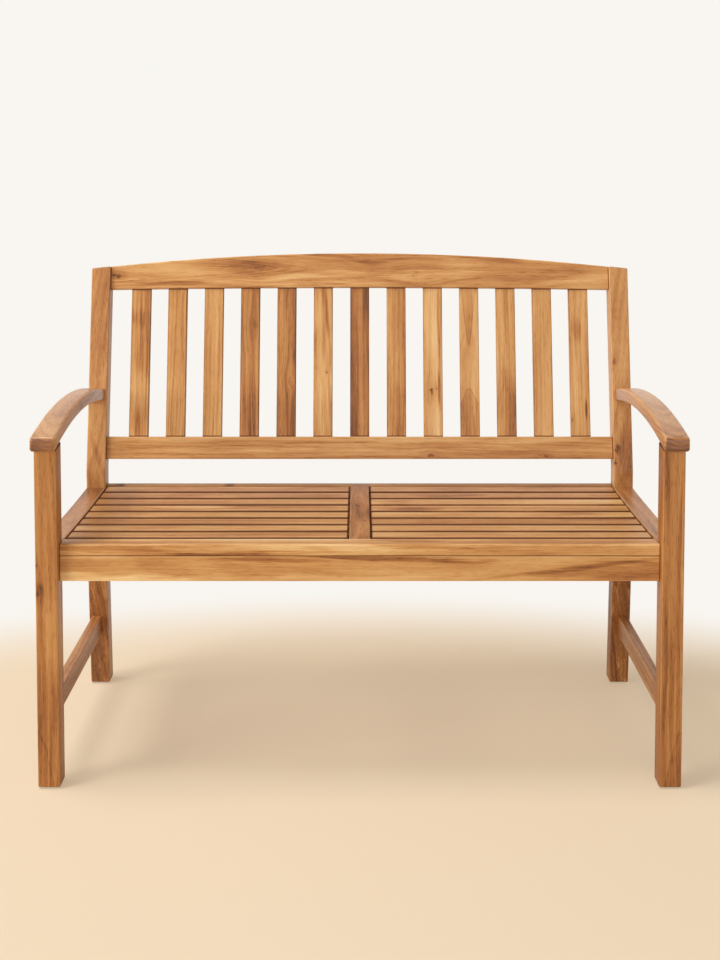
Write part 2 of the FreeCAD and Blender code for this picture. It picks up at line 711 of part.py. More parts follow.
# Side frames
def make_front_leg(word, side):
    """Square leg whose top follows the arm's underside and carries a tenon."""
    centre_x = leg_centre * side
    body = side_blank(
        f"front_leg_{word}", centre_x - size("stock") / 2, size("stock"),
        [
            (leg_front, size("glide_height")),
            (leg_back, size("glide_height")),
            (leg_back, arm_under_height(leg_back), arm_under_radius, -1),
            (leg_front, arm_under_height(leg_front)),
        ],
    )
    below_arm = leg_top_z.value - size("stock").value
    round_edges(body, "edges", size("leg_edge_radius"), lambda edge: edge.CenterOfMass.z < below_arm)
    tenon(body, "arm_tenon", (centre_x, leg_middle_y, leg_top_z), LEG_TENON)
    pinned_mortise(body, "rail", side, (centre_x, leg_back, side_tenon_z), SIDE_TENON, front_pin_y)
    pinned_mortise(body, "stretcher", side, (stretcher_centre * side, leg_back, stretcher_tenon_z),
                   STRETCHER_TENON, front_pin_y)
    apron_joint.cut_in_leg(body, side)
    snug_bore(body, "seat_front_dowel", (leg_inner * side, front_dowel_y, front_dowel_z), (side, 0, 0),
              size("dowel_radius"), size("dowel_bite"))
    dowel_spots.append(((dowel_end_x * side, front_dowel_y, front_dowel_z), (-side, 0, 0)))
    nail_up(body, centre_x, leg_middle_y)


def is_bend(edge):
    """Whether an edge of the post's blank crosses it at the knee or at the bend."""
    nearby = size("stock").value / 2
    turns = (size("knee_height").value, size("bend_height").value)
    return runs_along(edge, "X") and any(abs(edge.CenterOfMass.z - turn) < nearby for turn in turns)


def make_rear_post(word, side):
    """Post sawn in one piece: raked foot, upright middle, reclined back."""
    centre_x = leg_centre * side
    body = side_blank(
        f"rear_post_{word}", centre_x - size("stock") / 2, size("stock"),
        [
            (foot_front_y, size("glide_height")),
            (foot_back_y, size("glide_height")),
            (post_back, size("knee_height") + size("stock") * half_rake_tangent),
            (post_back, size("bend_height") - size("stock") * half_lean_tangent),
            back_to_bench(size("stock"), size("back_length")),
            back_to_bench(as_size(0), size("back_length")),
            (post_front, size("bend_height")),
            (post_front, size("knee_height")),
        ],
    )
    round_edges(body, "bends", size("bend_radius"), is_bend, least_turn=1)
    # The post's top carries on the crest of the back in one straight saw cut
    above = size("back_length") + size("stock")
    sawn_off = [
        (leg_outer * side, crest_height(leg_outer)),
        (leg_inner * side, crest_height(leg_inner)),
        (leg_inner * side, above),
        (leg_outer * side, above),
    ]
    sketch = draw(body, f"post_top_{word}", "XZ_Plane", sawn_off, offset=-post_front, leaning=True)
    cut_outline(body, sketch, size("stock") * 2)
    round_edges(body, "edges", size("leg_edge_radius"))
    pinned_mortise(body, "rail", side, (centre_x, post_front, side_tenon_z), SIDE_TENON, rear_pin_y)
    pinned_mortise(body, "stretcher", side, (stretcher_centre * side, stretcher_end_y, stretcher_tenon_z),
                   STRETCHER_TENON, stretcher_pin_y)
    pinned_mortise(body, "arm", side, (centre_x, arm_tenon_y, arm_tenon_z), ARM_TENON, arm_pin_y)
    for joint in (rear_rail_joint, lower_rail_joint, top_rail_joint):
        joint.cut_in_leg(body, side)
    nail_up(body, centre_x, foot_middle_y)


def is_nose_top(edge):
    """Whether an edge of the arm's blank crosses the nose at its top."""
    middle = edge.CenterOfMass
    nose_middle_z = (size("arm_height") - size("arm_thickness") / 2).value
    return runs_along(edge, "X") and middle.y < leg_front.value and middle.z > nose_middle_z


def make_arm(word, side):
    """Arched arm: its nose overhangs the leg and its rear end butts on the reclined post."""
    low_x = leg_inner if side > 0 else -half_width
    body = side_blank(
        f"arm_{word}", low_x, half_width - leg_inner,
        [
            (nose_y, arm_under_height(nose_y), arm_under_radius, 1),
            (arm_rear_y - arm_end_depth * lean_sine, size("arm_height") - arm_end_depth * lean_cosine),
            (arm_rear_y, size("arm_height"), arm_radius, -1),
            (nose_y, size("arm_height")),
        ],
    )
    # The inner side is sawn straight, from the leg's face to a little outside the post's
    clear_x = leg_inner - size("stock")
    sawn_off = [
        (leg_inner * side, nose_y),
        ((leg_inner + size("arm_taper")) * side, arm_rear_y),
        (clear_x * side, arm_rear_y),
        (clear_x * side, nose_y),
    ]
    sketch = draw(body, f"arm_side_{word}", "XY_Plane", sawn_off, offset=size("arm_height") + size("stock"))
    cut_outline(body, sketch, size("stock") * 2)
    round_edges(body, "nose", size("arm_nose_radius"), is_nose_top)
    rear_end = arm_rear_y.value - size("arm_thickness").value / 2
    round_edges(body, "edges", size("arm_edge_radius"), lambda edge: edge.CenterOfMass.y < rear_end)
    centre_x = leg_centre * side
    mortise(body, "leg_mortise", (centre_x, leg_middle_y, leg_top_z), LEG_TENON)
    pinned_tenon(body, "post", side, (centre_x, arm_tenon_y, arm_tenon_z), ARM_TENON, arm_pin_y)


def make_seat_side_rail(word, side):
    """Side rail as wide as the legs, dished on top, tenoned into the leg and the post."""
    centre_x = leg_centre * side
    body = side_blank(
        f"seat_side_rail_{word}", centre_x - size("stock") / 2, size("stock"),
        [
            (leg_back, side_rail_bottom),
            (post_front, side_rail_bottom),
            (post_front, side_rail_rear_top, dish_radius, 1),
            (leg_back, side_rail_front_top),
        ],
    )
    ease(body, "Y")
    pinned_tenon(body, "front", side, (centre_x, leg_back, side_tenon_z), SIDE_TENON, front_pin_y)
    pinned_tenon(body, "rear", side, (centre_x, post_front, side_tenon_z), SIDE_TENON, rear_pin_y)
    for number, (depth, height) in enumerate(cleat_screw_places, start=1):
        mouth = ((leg_inner - size("cleat_width")) * side, depth, height)
        screw_hole(body, f"cleat_screw_{number}", mouth, (side, 0, 0))


def make_side_stretcher(word, side):
    """Low stretcher between a front leg and the raked rear foot."""
    centre_x = stretcher_centre * side
    body = side_blank(
        f"side_stretcher_{word}", centre_x - size("stretcher_thickness") / 2, size("stretcher_thickness"),
        [
            (leg_back, stretcher_bottom),
            (post_front_at(stretcher_bottom), stretcher_bottom),
            (post_front_at(size("stretcher_height")), size("stretcher_height")),
            (leg_back, size("stretcher_height")),
        ],
    )
    ease(body, "Y")
    pinned_tenon(body, "front", side, (centre_x, leg_back, stretcher_tenon_z), STRETCHER_TENON, front_pin_y)
    pinned_tenon(body, "rear", side, (centre_x, stretcher_end_y, stretcher_tenon_z), STRETCHER_TENON,
                 stretcher_pin_y)


# Back
def slat_tenon(length):
    """Extent of an upright slat's tenon that reaches a length beyond its shoulder."""
    return size("slat_tenon_width"), size("slat_tenon_thickness"), length * 2


first_slat = -(BACK_SLATS - 1) / 2
back_slat_places = [size("back_slat_pitch") * (first_slat + number) for number in range(BACK_SLATS)]


def make_top_back_rail():
    """Top rail: arched crest, a gentler arch underneath, mortised for the slats."""
    body = front_blank(
        "top_back_rail", rail_front, size("back_rail_thickness"),
        [
            (-leg_inner, top_rail_end_bottom, under_radius, 1),
            (leg_inner, top_rail_end_bottom),
            (leg_inner, post_top, crest_radius, -1),
            (-leg_inner, post_top),
        ],
        leaning=True,
    )
    ease(body, "X")
    for number, across in enumerate(back_slat_places, start=1):
        mortise(body, f"slat_{number}", (across, back_middle, under_height(across)),
                slat_tenon(size("slat_tenon_length")))
    top_rail_joint.cut_in_rail(body)


def make_lower_back_rail():
    """Straight lower rail, mortised for the slats."""
    body = cross_board("lower_back_rail", rail_front, size("back_rail_thickness"),
                       size("lower_rail_start"), lower_rail_top, leaning=True)
    for number, across in enumerate(back_slat_places, start=1):
        mortise(body, f"slat_{number}", (across, back_middle, lower_rail_top),
                slat_tenon(size("slat_tenon_length")))
    lower_rail_joint.cut_in_rail(body)


def make_back_slat(number, across):
    """Upright slat whose top shoulder follows the top rail's lower edge."""
    left = across - size("back_slat_width") / 2
    right = across + size("back_slat_width") / 2
    body = front_blank(
        f"back_slat_{number:02d}", slat_front, size("back_slat_thickness"),
        [
            (left, lower_rail_top),
            (right, lower_rail_top),
            (right, under_height(right), under_radius, -1),
            (left, under_height(left)),
        ],
        leaning=True,
    )
    ease(body, "Z")
    short_tenon = slat_tenon(size("slat_tenon_length") - size("mortise_spare"))
    tenon(body, "lower_tenon", (across, back_middle, lower_rail_top), short_tenon)
    tenon(body, "upper_tenon", (across, back_middle, under_height(across)), short_tenon)


# Seat
def seat_slat_place(number):
    """Depth and height of a seat slat's middle, and the sine and cosine of its slope."""
    slats_end = front_rail_back + slat_step * number
    depth = work_out(f"seat_slat_{number}_y", slats_end - size("seat_slat_width") / 2)
    height = work_out(f"seat_slat_{number}_z", dish_height(depth))
    slope_sine = work_out(f"seat_slat_{number}_sine", (depth - dish_centre_y) / dish_radius)
    slope_cosine = work_out(f"seat_slat_{number}_cosine", root(as_size(1) - squared(slope_sine)))
    return depth, height, slope_sine, slope_cosine


seat_slat_places = [seat_slat_place(number) for number in range(1, SEAT_SLATS_PER_HALF + 1)]


def cleat_screw_place(number):
    """Depth and height of a cleat's screw: it sits under a gap, clear of the slats' own screws."""
    slats_before = round((number + 0.5) * SEAT_SLATS_PER_HALF / CLEAT_SCREWS)
    depth = work_out(f"cleat_screw_{number}_y", front_rail_back + slat_step * slats_before + slat_gap / 2)
    height = work_out(f"cleat_screw_{number}_z", dish_height(depth, cleat_drop + size("cleat_depth") / 2))
    return depth, height


cleat_screw_places = [cleat_screw_place(number) for number in range(CLEAT_SCREWS)]
apron_screw_step = work_out("apron_screw_step", leg_inner * 2 / APRON_SCREWS)
apron_screw_places = [
    apron_screw_step * (number + 0.5 - APRON_SCREWS / 2) for number in range(APRON_SCREWS)
]
apron_screw_z = work_out("apron_screw_z", front_rail_bottom - size("apron_screw_wood"))


def dowel_cross_rail(body, face_y, direction):
    """Drills a cross rail for the two dowels of the centre rail and notes the dowels."""
    for word, side in SIDES:
        mouth = (centre_dowel_x * side, face_y, centre_dowel_z)
        snug_bore(body, f"centre_dowel_{word}", mouth, (0, direction, 0),
                  size("dowel_radius"), size("dowel_bite"))
        start = advance(mouth, (0, direction, 0), size("dowel_bite"))
        dowel_spots.append((start, (0, -direction, 0)))


def make_front_apron():
    """Apron under the seat front rail, with deep holes for the screws that hold that rail down."""
    body = cross_board("front_apron", seat_front, size("apron_thickness"), apron_bottom, front_rail_bottom)
    apron_joint.cut_in_rail(body)
    dowel_cross_rail(body, apron_back, -1)
    for number, across in enumerate(apron_screw_places, start=1):
        bore(body, f"access_{number}", (across, apron_joint.middle_y, apron_bottom), UP,
             size("screw_head_radius") + size("joint_play"),
             size("apron_depth") - size("apron_screw_wood"))
        screw_seat(body, f"screw_{number}", (across, apron_joint.middle_y, apron_screw_z), UP)


def make_seat_front_rail():
    """Seat's front rail on top of the apron: its front edge is rounded and its top falls rearwards."""
    body = side_blank(
        "seat_front_rail", -leg_inner, leg_inner * 2,
        [
            (seat_front, front_rail_bottom),
            (front_rail_back, front_rail_bottom),
            (front_rail_back, size("seat_height") - size("front_rail_fall")),
            (seat_front, size("seat_height")),
        ],
    )
    halfway = seat_front.value + size("front_rail_width").value / 2
    middle_z = front_dowel_z.value

    def is_seat_edge(edge):
        spot = edge.CenterOfMass
        return runs_along(edge, "X") and spot.y < halfway and spot.z > middle_z

    round_edges(body, "seat_edge", size("front_rail_radius"), is_seat_edge)
    ease(body, "X")
    for word, side in SIDES:
        snug_bore(body, f"dowel_{word}", (leg_inner * side, front_dowel_y, front_dowel_z), (-side, 0, 0),
                  size("dowel_radius"), dowel_rest)
    for number, across in enumerate(apron_screw_places, start=1):
        screw_hole(body, f"screw_{number}", (across, apron_joint.middle_y, apron_screw_z), UP)


def make_seat_rear_rail():
    """Rear rail between the posts, its top just behind the last slat."""
    body = cross_board("seat_rear_rail", rear_rail_front, size("rear_rail_thickness"),
                       rear_rail_bottom, side_rail_rear_top)
    rear_rail_joint.cut_in_rail(body)
    dowel_cross_rail(body, rear_rail_front, 1)


def make_seat_centre_rail():
    """Centre rail, dished like the side rails, its front end notched under the seat front rail."""
    body = side_blank(
        "seat_centre_rail", -centre_half, size("centre_rail_width"),
        [
            (apron_back, centre_rail_bottom),
            (rear_rail_front, centre_rail_bottom),
            (rear_rail_front, dish_height(rear_rail_front), dish_radius, 1),
            (front_rail_back, dish_height(front_rail_back)),
            (front_rail_back, front_rail_bottom),
            (apron_back, front_rail_bottom),
        ],
    )
    ease(body, "Y")
    for word, side in SIDES:
        for end, face_y, direction in (("front", apron_back, 1), ("rear", rear_rail_front, -1)):
            mouth = (centre_dowel_x * side, face_y, centre_dowel_z)
            snug_bore(body, f"dowel_{end}_{word}", mouth, (0, direction, 0),
                      size("dowel_radius"), dowel_rest)
        for number, (depth, height) in enumerate(cleat_screw_places, start=1):
            mouth = ((centre_half + size("cleat_width")) * side, depth, height)
            screw_hole(body, f"cleat_screw_{word}_{number}", mouth, (-side, 0, 0))


def cleat_middle_x(place, side):
    """Middle of the outer cleat, on the side rail, or of the inner one, on the centre rail."""
    if place == "outer":
        return (leg_inner - size("cleat_width") / 2) * side
    return (centre_half + size("cleat_width") / 2) * side


def make_seat_cleat(place, word, side):
    """Batten that carries the slat ends, screwed to its rail; the slats are screwed on from below."""
    middle_x = cleat_middle_x(place, side)
    body = side_blank(
        f"seat_cleat_{place}_{word}", middle_x - size("cleat_width") / 2, size("cleat_width"),
        [
            (cleat_front, dish_height(cleat_front, cleat_under_drop), dish_radius + cleat_under_drop, -1),
            (cleat_back, dish_height(cleat_back, cleat_under_drop)),
            (cleat_back, dish_height(cleat_back, cleat_drop), dish_radius + cleat_drop, 1),
            (cleat_front, dish_height(cleat_front, cleat_drop)),
        ],
    )
    ease(body, "Y")
    into_rail = side if place == "outer" else -side
    free_face = middle_x - size("cleat_width") / 2 * into_rail
    for number, (depth, height) in enumerate(cleat_screw_places, start=1):
        screw_seat(body, f"rail_screw_{number}", (free_face, depth, height), (into_rail, 0, 0))
    for number, (depth, *_) in enumerate(seat_slat_places, start=1):
        mouth = (middle_x, depth, dish_height(depth, cleat_under_drop))
        screw_seat(body, f"slat_screw_{number}", mouth, UP)


def make_seat_slat(number, place, word, side):
    """Seat slat laid square to the seat's hollow at its own depth."""
    depth, height, slope_sine, slope_cosine = place
    inner_x = centre_half + size("seat_slat_end_gap")
    outer_x = leg_inner - size("seat_slat_end_gap")
    half_y = size("seat_slat_width") / 2 * slope_cosine
    half_z = size("seat_slat_width") / 2 * slope_sine
    down_y = size("seat_slat_thickness") * slope_sine
    down_z = size("seat_slat_thickness") * slope_cosine
    body = side_blank(
        f"seat_slat_{word}_{number}", inner_x if side > 0 else -outer_x, outer_x - inner_x,
        [
            (depth - half_y + down_y, height - half_z - down_z),
            (depth + half_y + down_y, height + half_z - down_z),
            (depth + half_y, height + half_z),
            (depth - half_y, height - half_z),
        ],
    )
    round_edges(body, "edges", size("edge_radius"))
    for place in ("outer", "inner"):
        mouth = (cleat_middle_x(place, side), depth, dish_height(depth, cleat_under_drop))
        screw_hole(body, f"screw_{place}", mouth, UP)


# Feet
def make_foot_glide(name, centre_x, centre_y):
    """Hard glide nailed under a foot, with a rounded lower rim and a sunk seat for the nail's head."""
    body = new_body(f"foot_glide_{name}")
    feature = body.newObject("PartDesign::AdditiveCylinder", f"{body.Name}_disc")
    bind(feature, Radius=size("glide_radius"), Height=size("glide_height"))
    bind_position(feature, (centre_x, centre_y, 0))
    doc.recompute()
    half_height = size("glide_height").value / 2
    round_edges(body, "rim", size("glide_edge_radius"), lambda edge: edge.CenterOfMass.z < half_height)
    snug_bore(body, "seat", (centre_x, centre_y, 0), UP, size("nail_head_radius"),
              size("nail_sink") + size("nail_head_height"))
    snug_bore(body, "hole", (centre_x, centre_y, 0), UP, size("nail_radius"), size("glide_height"))


# Fasteners, each node a group of separate solids
def turned(kind, name, position, direction, **lengths):
    """One plain solid of a fastener."""
    feature = doc.addObject(f"Part::{kind}", name)
    feature.Placement = Placement(Vector(), turn_to(direction))
    bind(feature, **lengths)
    bind_position(feature, position)
    return feature


def joined(name, solids):
    feature = doc.addObject("Part::MultiFuse", name)
    feature.Shapes = solids
    return feature


def bored(name, solid, tool):
    feature = doc.addObject("Part::Cut", name)
    feature.Base = solid
    feature.Tool = tool
    return feature


def gather(label, make, spots):
    """Puts one fastener on each spot and gathers them all in one node."""
    group = doc.addObject("Part::Compound", label)
    group.Label = label
    group.Links = [make(f"{label}_{number}", *spot) for number, spot in enumerate(spots, start=1)]
    pieces.append(group)


def frame_bolt(name, seat, direction):
    """Socket-head bolt: its head stands back from the seat, its shank runs on."""
    head_end = advance(seat, direction, -size("bolt_head_height"))
    head = turned("Cylinder", f"{name}_head", head_end, direction,
                  Radius=size("bolt_head_radius"), Height=size("bolt_head_height"))
    shank = turned("Cylinder", f"{name}_shank", seat, direction,
                   Radius=size("bolt_radius"), Height=size("bolt_length"))
    socket = turned("Prism", f"{name}_socket", head_end, direction,
                    Circumradius=size("bolt_socket_radius"), Height=size("bolt_socket_depth"))
    return bored(name, joined(f"{name}_solid", [head, shank]), socket)


def barrel_nut(name, start, direction):
    """Barrel with a cross hole for the bolt."""
    barrel = turned("Cylinder", f"{name}_barrel", start, direction,
                    Radius=size("nut_radius"), Height=size("nut_length"))
    middle = advance(start, direction, size("nut_length") / 2)
    thread = turned("Cylinder", f"{name}_thread", advance(middle, (1, 0, 0), -size("nut_length")), (1, 0, 0),
                    Radius=size("bolt_radius") + size("joint_play"), Height=size("nut_length") * 2)
    return bored(name, barrel, thread)


def wood_screw(name, start, direction):
    """Countersunk screw: head, shank and point."""
    shank_length = size("screw_length") - size("screw_head_height") - size("screw_tip_length")
    shank_start = advance(start, direction, size("screw_head_height"))
    head = turned("Cone", f"{name}_head", start, direction, Radius1=size("screw_head_radius"),
                  Radius2=size("screw_radius"), Height=size("screw_head_height"))
    shank = turned("Cylinder", f"{name}_shank", shank_start, direction,
                   Radius=size("screw_radius"), Height=shank_length)
    tip = turned("Cone", f"{name}_tip", advance(shank_start, direction, shank_length), direction,
                 Radius1=size("screw_radius"), Radius2=0, Height=size("screw_tip_length"))
    return joined(name, [head, shank, tip])


def tenon_pin(name, start, direction):
    return turned("Cylinder", name, start, direction,
                  Radius=size("pin_radius"), Height=size("pin_length"))


def dowel(name, start, direction):
    return turned("Cylinder", name, start, direction,
                  Radius=size("dowel_radius"), Height=size("dowel_length"))


def glide_nail(name, start, direction):
    """Nail whose head lies sunk in the glide."""
    head = turned("Cylinder", f"{name}_head", start, direction,
                  Radius=size("nail_head_radius"), Height=size("nail_head_height"))
    shank_start = advance(start, direction, size("nail_head_height"))
    shank = turned("Cylinder", f"{name}_shank", shank_start, direction,
                   Radius=size("nail_radius"), Height=size("nail_length"))
    return joined(name, [head, shank])


def check_document():
    """Stops if an object failed, a cut missed its piece or a piece has no sound shape."""
    doc.recompute()
    volumes = {item.Name: item.Shape.Volume for item in doc.Objects if item.TypeId.startswith("PartDesign::")}
    for item in doc.Objects:
        if "Invalid" in item.State or "Error" in item.State:
            raise RuntimeError(f"{item.Name} failed: {item.State}")
        cuts = item.TypeId == "PartDesign::Pocket" or "Subtractive" in item.TypeId
        if cuts and volumes[item.BaseFeature.Name] - volumes[item.Name] < 0.1:
            raise RuntimeError(f"{item.Name} cuts nothing")
    for piece in pieces:
        if piece.Shape.isNull() or not piece.Shape.isValid():
            raise RuntimeError(f"{piece.Label} has no sound shape")


def write_parts():
    """Writes each piece to its own STEP file."""
    os.makedirs("parts", exist_ok=True)
    for piece in pieces:
        piece.Shape.exportStep(f"parts/{piece.Label}.step")


for side_word, side_sign in SIDES:
    make_front_leg(side_word, side_sign)
    make_rear_post(side_word, side_sign)
    make_arm(side_word, side_sign)
    make_seat_side_rail(side_word, side_sign)
    make_side_stretcher(side_word, side_sign)
    for cleat_place in ("outer", "inner"):
        make_seat_cleat(cleat_place, side_word, side_sign)
    for slat_number, slat_place in enumerate(seat_slat_places, start=1):
        make_seat_slat(slat_number, slat_place, side_word, side_sign)
    make_foot_glide(f"front_{side_word}", leg_centre * side_sign, leg_middle_y)
    make_foot_glide(f"rear_{side_word}", leg_centre * side_sign, foot_middle_y)

make_top_back_rail()
make_lower_back_rail()
for slat_number, slat_across in enumerate(back_slat_places, start=1):
    make_back_slat(slat_number, slat_across)

make_front_apron()
make_seat_front_rail()
make_seat_rear_rail()
make_seat_centre_rail()

gather("frame_bolts", frame_bolt, bolt_spots)
gather("barrel_nuts", barrel_nut, nut_spots)
gather("rail_dowels", dowel, dowel_spots)
gather("tenon_pins", tenon_pin, pin_spots)
gather("seat_screws", wood_screw, screw_spots)
gather("glide_nails", glide_nail, nail_spots)

check_document()
write_parts()
print(f"{len(pieces)} pieces written")
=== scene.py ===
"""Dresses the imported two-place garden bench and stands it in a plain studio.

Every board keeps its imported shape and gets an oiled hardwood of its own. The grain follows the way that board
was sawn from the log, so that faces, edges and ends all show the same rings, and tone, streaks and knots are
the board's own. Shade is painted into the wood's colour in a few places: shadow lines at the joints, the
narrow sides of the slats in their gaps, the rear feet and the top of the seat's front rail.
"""

import logging
import math
from dataclasses import dataclass
from enum import Enum
from typing import Sequence, Union

import bpy
import numpy as np
from mathutils import Matrix, Vector


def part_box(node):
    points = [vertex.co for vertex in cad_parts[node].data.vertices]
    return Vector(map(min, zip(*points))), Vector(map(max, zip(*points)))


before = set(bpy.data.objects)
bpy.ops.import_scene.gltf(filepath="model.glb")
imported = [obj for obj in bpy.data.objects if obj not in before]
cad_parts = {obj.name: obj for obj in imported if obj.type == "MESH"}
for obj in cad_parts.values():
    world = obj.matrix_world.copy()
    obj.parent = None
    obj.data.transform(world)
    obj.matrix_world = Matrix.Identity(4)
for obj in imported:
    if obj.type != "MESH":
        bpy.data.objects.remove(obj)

LOG = logging.getLogger("garden_bench")
SIDES = ("left", "right")

# Angles at which the back and its posts lean away from the sitter
BACK_LEAN = math.radians(11.3)
POST_LEAN = math.radians(6.0)

# A millimetre in metres
MM = 0.001

# Sockets of the node groups that carry more than one number
SOCKET_KINDS = {"Place": "Vector", "Normal": "Vector", "Colour": "Color"}

# Where the mix node keeps its share and its two colours, and where it gives the mixed colour
MIX_INPUTS = (0, 6, 7)
MIX_RESULT = 2

Socket = bpy.types.NodeSocket
Outputs = bpy.types.NodeOutputs
Feed = Union[float, Sequence[float], Socket]
Part = tuple[Feed, Feed]
Point = tuple[float, float, float]


class Wiring:
    """Adds nodes to one node tree and joins their sockets."""

    def __init__(self, tree: bpy.types.NodeTree) -> None:
        """Starts on a tree.

        Args:
            tree: the node tree to fill.
        """
        self.tree = tree

    def add(self, kind: str, **settings: object) -> bpy.types.Node:
        """Adds one node.

        Args:
            kind: the node's type name.
            settings: the node's own properties by name.

        Returns:
            The new node.
        """
        node = self.tree.nodes.new(kind)
        for name, value in settings.items():
            setattr(node, name, value)
        return node

    def feed(self, socket: Socket, source: Feed) -> None:
        """Links a source into an input, or sets the input to a plain value.

        Args:
            socket: the input.
            source: an output to link, or a value to set.
        """
        if isinstance(source, Socket):
            self.tree.links.new(source, socket)
        else:
            socket.default_value = source

    def feed_all(self, node: bpy.types.Node, **sources: Feed) -> Outputs:
        """Feeds a node's inputs by name, with underscores for spaces, and gives its outputs."""
        for name, source in sources.items():
            self.feed(node.inputs[name.replace("_", " ")], source)
        return node.outputs

    def work_out(self, node: bpy.types.Node, sources: Sequence[Feed], result: str) -> Socket:
        """Feeds a node's inputs in order and gives the named output."""
        for socket, source in zip(node.inputs, sources):
            self.feed(socket, source)
        return node.outputs[result]

    def number(self, operation: str, *sources: Feed) -> Socket:
        """Works out one number from others, by the named operation."""
        return self.work_out(self.add("ShaderNodeMath", operation=operation), sources, "Value")

    def times(self, number: Feed, other: Feed) -> Socket:
        """Multiplies two numbers."""
        return self.number("MULTIPLY", number, other)

    def minus(self, number: Feed, other: Feed) -> Socket:
        """Takes the second number from the first."""
        return self.number("SUBTRACT", number, other)

    def vector(self, operation: str, *sources: Feed) -> Socket:
        """Works out one vector from others, by the named operation."""
        return self.work_out(self.add("ShaderNodeVectorMath", operation=operation), sources, "Vector")

    def measure(self, operation: str, *sources: Feed) -> Socket:
        """Works out one number from vectors, by the named operation."""
        return self.work_out(self.add("ShaderNodeVectorMath", operation=operation), sources, "Value")

    def bench_place(self) -> Socket:
        """Reads the place in the bench, in metres."""
        return self.add("ShaderNodeTexCoord").outputs["Object"]

    def facing(self, axis: Vector) -> Socket:
        """Says how squarely the surface faces along an axis, either way."""
        normal = self.add("ShaderNodeNewGeometry").outputs["Normal"]
        return self.number("ABSOLUTE", self.measure("DOT_PRODUCT", normal, axis))

    def split(self, place: Socket) -> list[Socket]:
        """Gives the three numbers of a vector."""
        return list(self.feed_all(self.add("ShaderNodeSeparateXYZ"), Vector=place))

    def join(self, *numbers: Feed) -> Socket:
        """Makes one vector of three numbers."""
        return self.work_out(self.add("ShaderNodeCombineXYZ"), numbers, "Vector")

    def turned(self, place: Socket) -> Socket:
        """Swaps a place's distance across the face with its depth."""
        across, deep, along = self.split(place)
        return self.join(deep, across, along)

    def noise(self, place: Socket, cells: Point, shift: Feed = (0.0, 0.0, 0.0), detail: float = 2.0,
              roughness: float = 0.5) -> Socket:
        """Reads smooth noise at a place.

        Args:
            place: where it is read.
            cells: how many cells of the noise there are to a unit of the place, each way.
            shift: how far the noise is shifted, in cells.
            detail: how many finer layers it has.
            roughness: how strong each finer layer is.

        Returns:
            The noise, about 0.5 on average.
        """
        node = self.add("ShaderNodeTexNoise", noise_dimensions="3D")
        at = self.vector("MULTIPLY_ADD", place, cells, shift)
        return self.feed_all(node, Vector=at, Scale=1.0, Detail=detail, Roughness=roughness)["Fac"]

    def rise(self, value: Feed, low: float, high: float) -> Socket:
        """Rises smoothly from 0 to 1.

        Args:
            value: what is looked at.
            low: where the rise starts.
            high: where it ends.

        Returns:
            The risen value.
        """
        node = self.add("ShaderNodeMapRange", interpolation_type="SMOOTHSTEP")
        return self.feed_all(node, Value=value, From_Min=low, From_Max=high)["Result"]

    def weighed(self, start: Feed, *parts: Part) -> Socket:
        """Adds up parts by weight.

        Args:
            start: what the parts are added to.
            parts: pairs of a weight and what it weighs.

        Returns:
            The sum.
        """
        total = start
        for weight, part in parts:
            total = self.number("MULTIPLY_ADD", part, weight, total)
        return total

    def squares(self, parts: Sequence[Part]) -> Socket:
        """Adds up the squares of parts, by weight."""
        return self.weighed(0.0, *[(weight, self.times(part, part)) for weight, part in parts])

    def length(self, *parts: Part) -> Socket:
        """Gives the root of the weighed squares of parts."""
        return self.number("SQRT", self.squares(parts))

    def hill(self, *parts: Part) -> Socket:
        """Falls from 1 to 0 as the weighed squares of parts grow."""
        return self.number("EXPONENT", self.times(self.squares(parts), -1.0))

    def blend(self, share: Feed, colour: Point, other: Point) -> Socket:
        """Mixes two colours.

        Args:
            share: how much there is of the second.
            colour: the first colour.
            other: the second colour.

        Returns:
            The mixed colour.
        """
        node = self.add("ShaderNodeMix", data_type="RGBA")
        for place, source in zip(MIX_INPUTS, (share, (*colour, 1.0), (*other, 1.0))):
            self.feed(node.inputs[place], source)
        return node.outputs[MIX_RESULT]

    def bump(self, height: Feed, strength: float, depth: float) -> Socket:
        """Gives a surface relief.

        Args:
            height: its height at each place.
            strength: how strongly it shows.
            depth: how deep a height of 1 is, in metres.

        Returns:
            The normal of the surface with its relief.
        """
        node = self.add("ShaderNodeBump")
        return self.feed_all(node, Height=height, Strength=strength, Distance=depth)["Normal"]

    def group(self, tree: bpy.types.NodeTree, **sources: Feed) -> Outputs:
        """Adds a node group.

        Args:
            tree: the group's tree.
            sources: what goes into each input, by its name.

        Returns:
            What the group gives.
        """
        return self.feed_all(self.add("ShaderNodeGroup", node_tree=tree), **sources)


class Group(Wiring):
    """A node group in the making, with the sockets that it reads, in order."""

    def __init__(self, name: str, inputs: Sequence[str], outputs: Sequence[str]) -> None:
        """Starts a group.

        Args:
            name: the group's name.
            inputs: the names of its inputs.
            outputs: the names of its outputs.
        """
        super().__init__(bpy.data.node_groups.new(name, "ShaderNodeTree"))
        for way, sockets in (("INPUT", inputs), ("OUTPUT", outputs)):
            for socket in sockets:
                kind = "NodeSocket" + SOCKET_KINDS.get(socket, "Float")
                self.tree.interface.new_socket(name=socket, in_out=way, socket_type=kind)
        found = self.add("NodeGroupInput").outputs
        self.read = [found[socket] for socket in inputs]
        self.filled = self.add("NodeGroupOutput").inputs

    def fill(self, **sources: Feed) -> bpy.types.NodeTree:
        """Feeds the group's outputs, by name, and gives its tree."""
        for name, source in sources.items():
            self.feed(self.filled[name], source)
        return self.tree


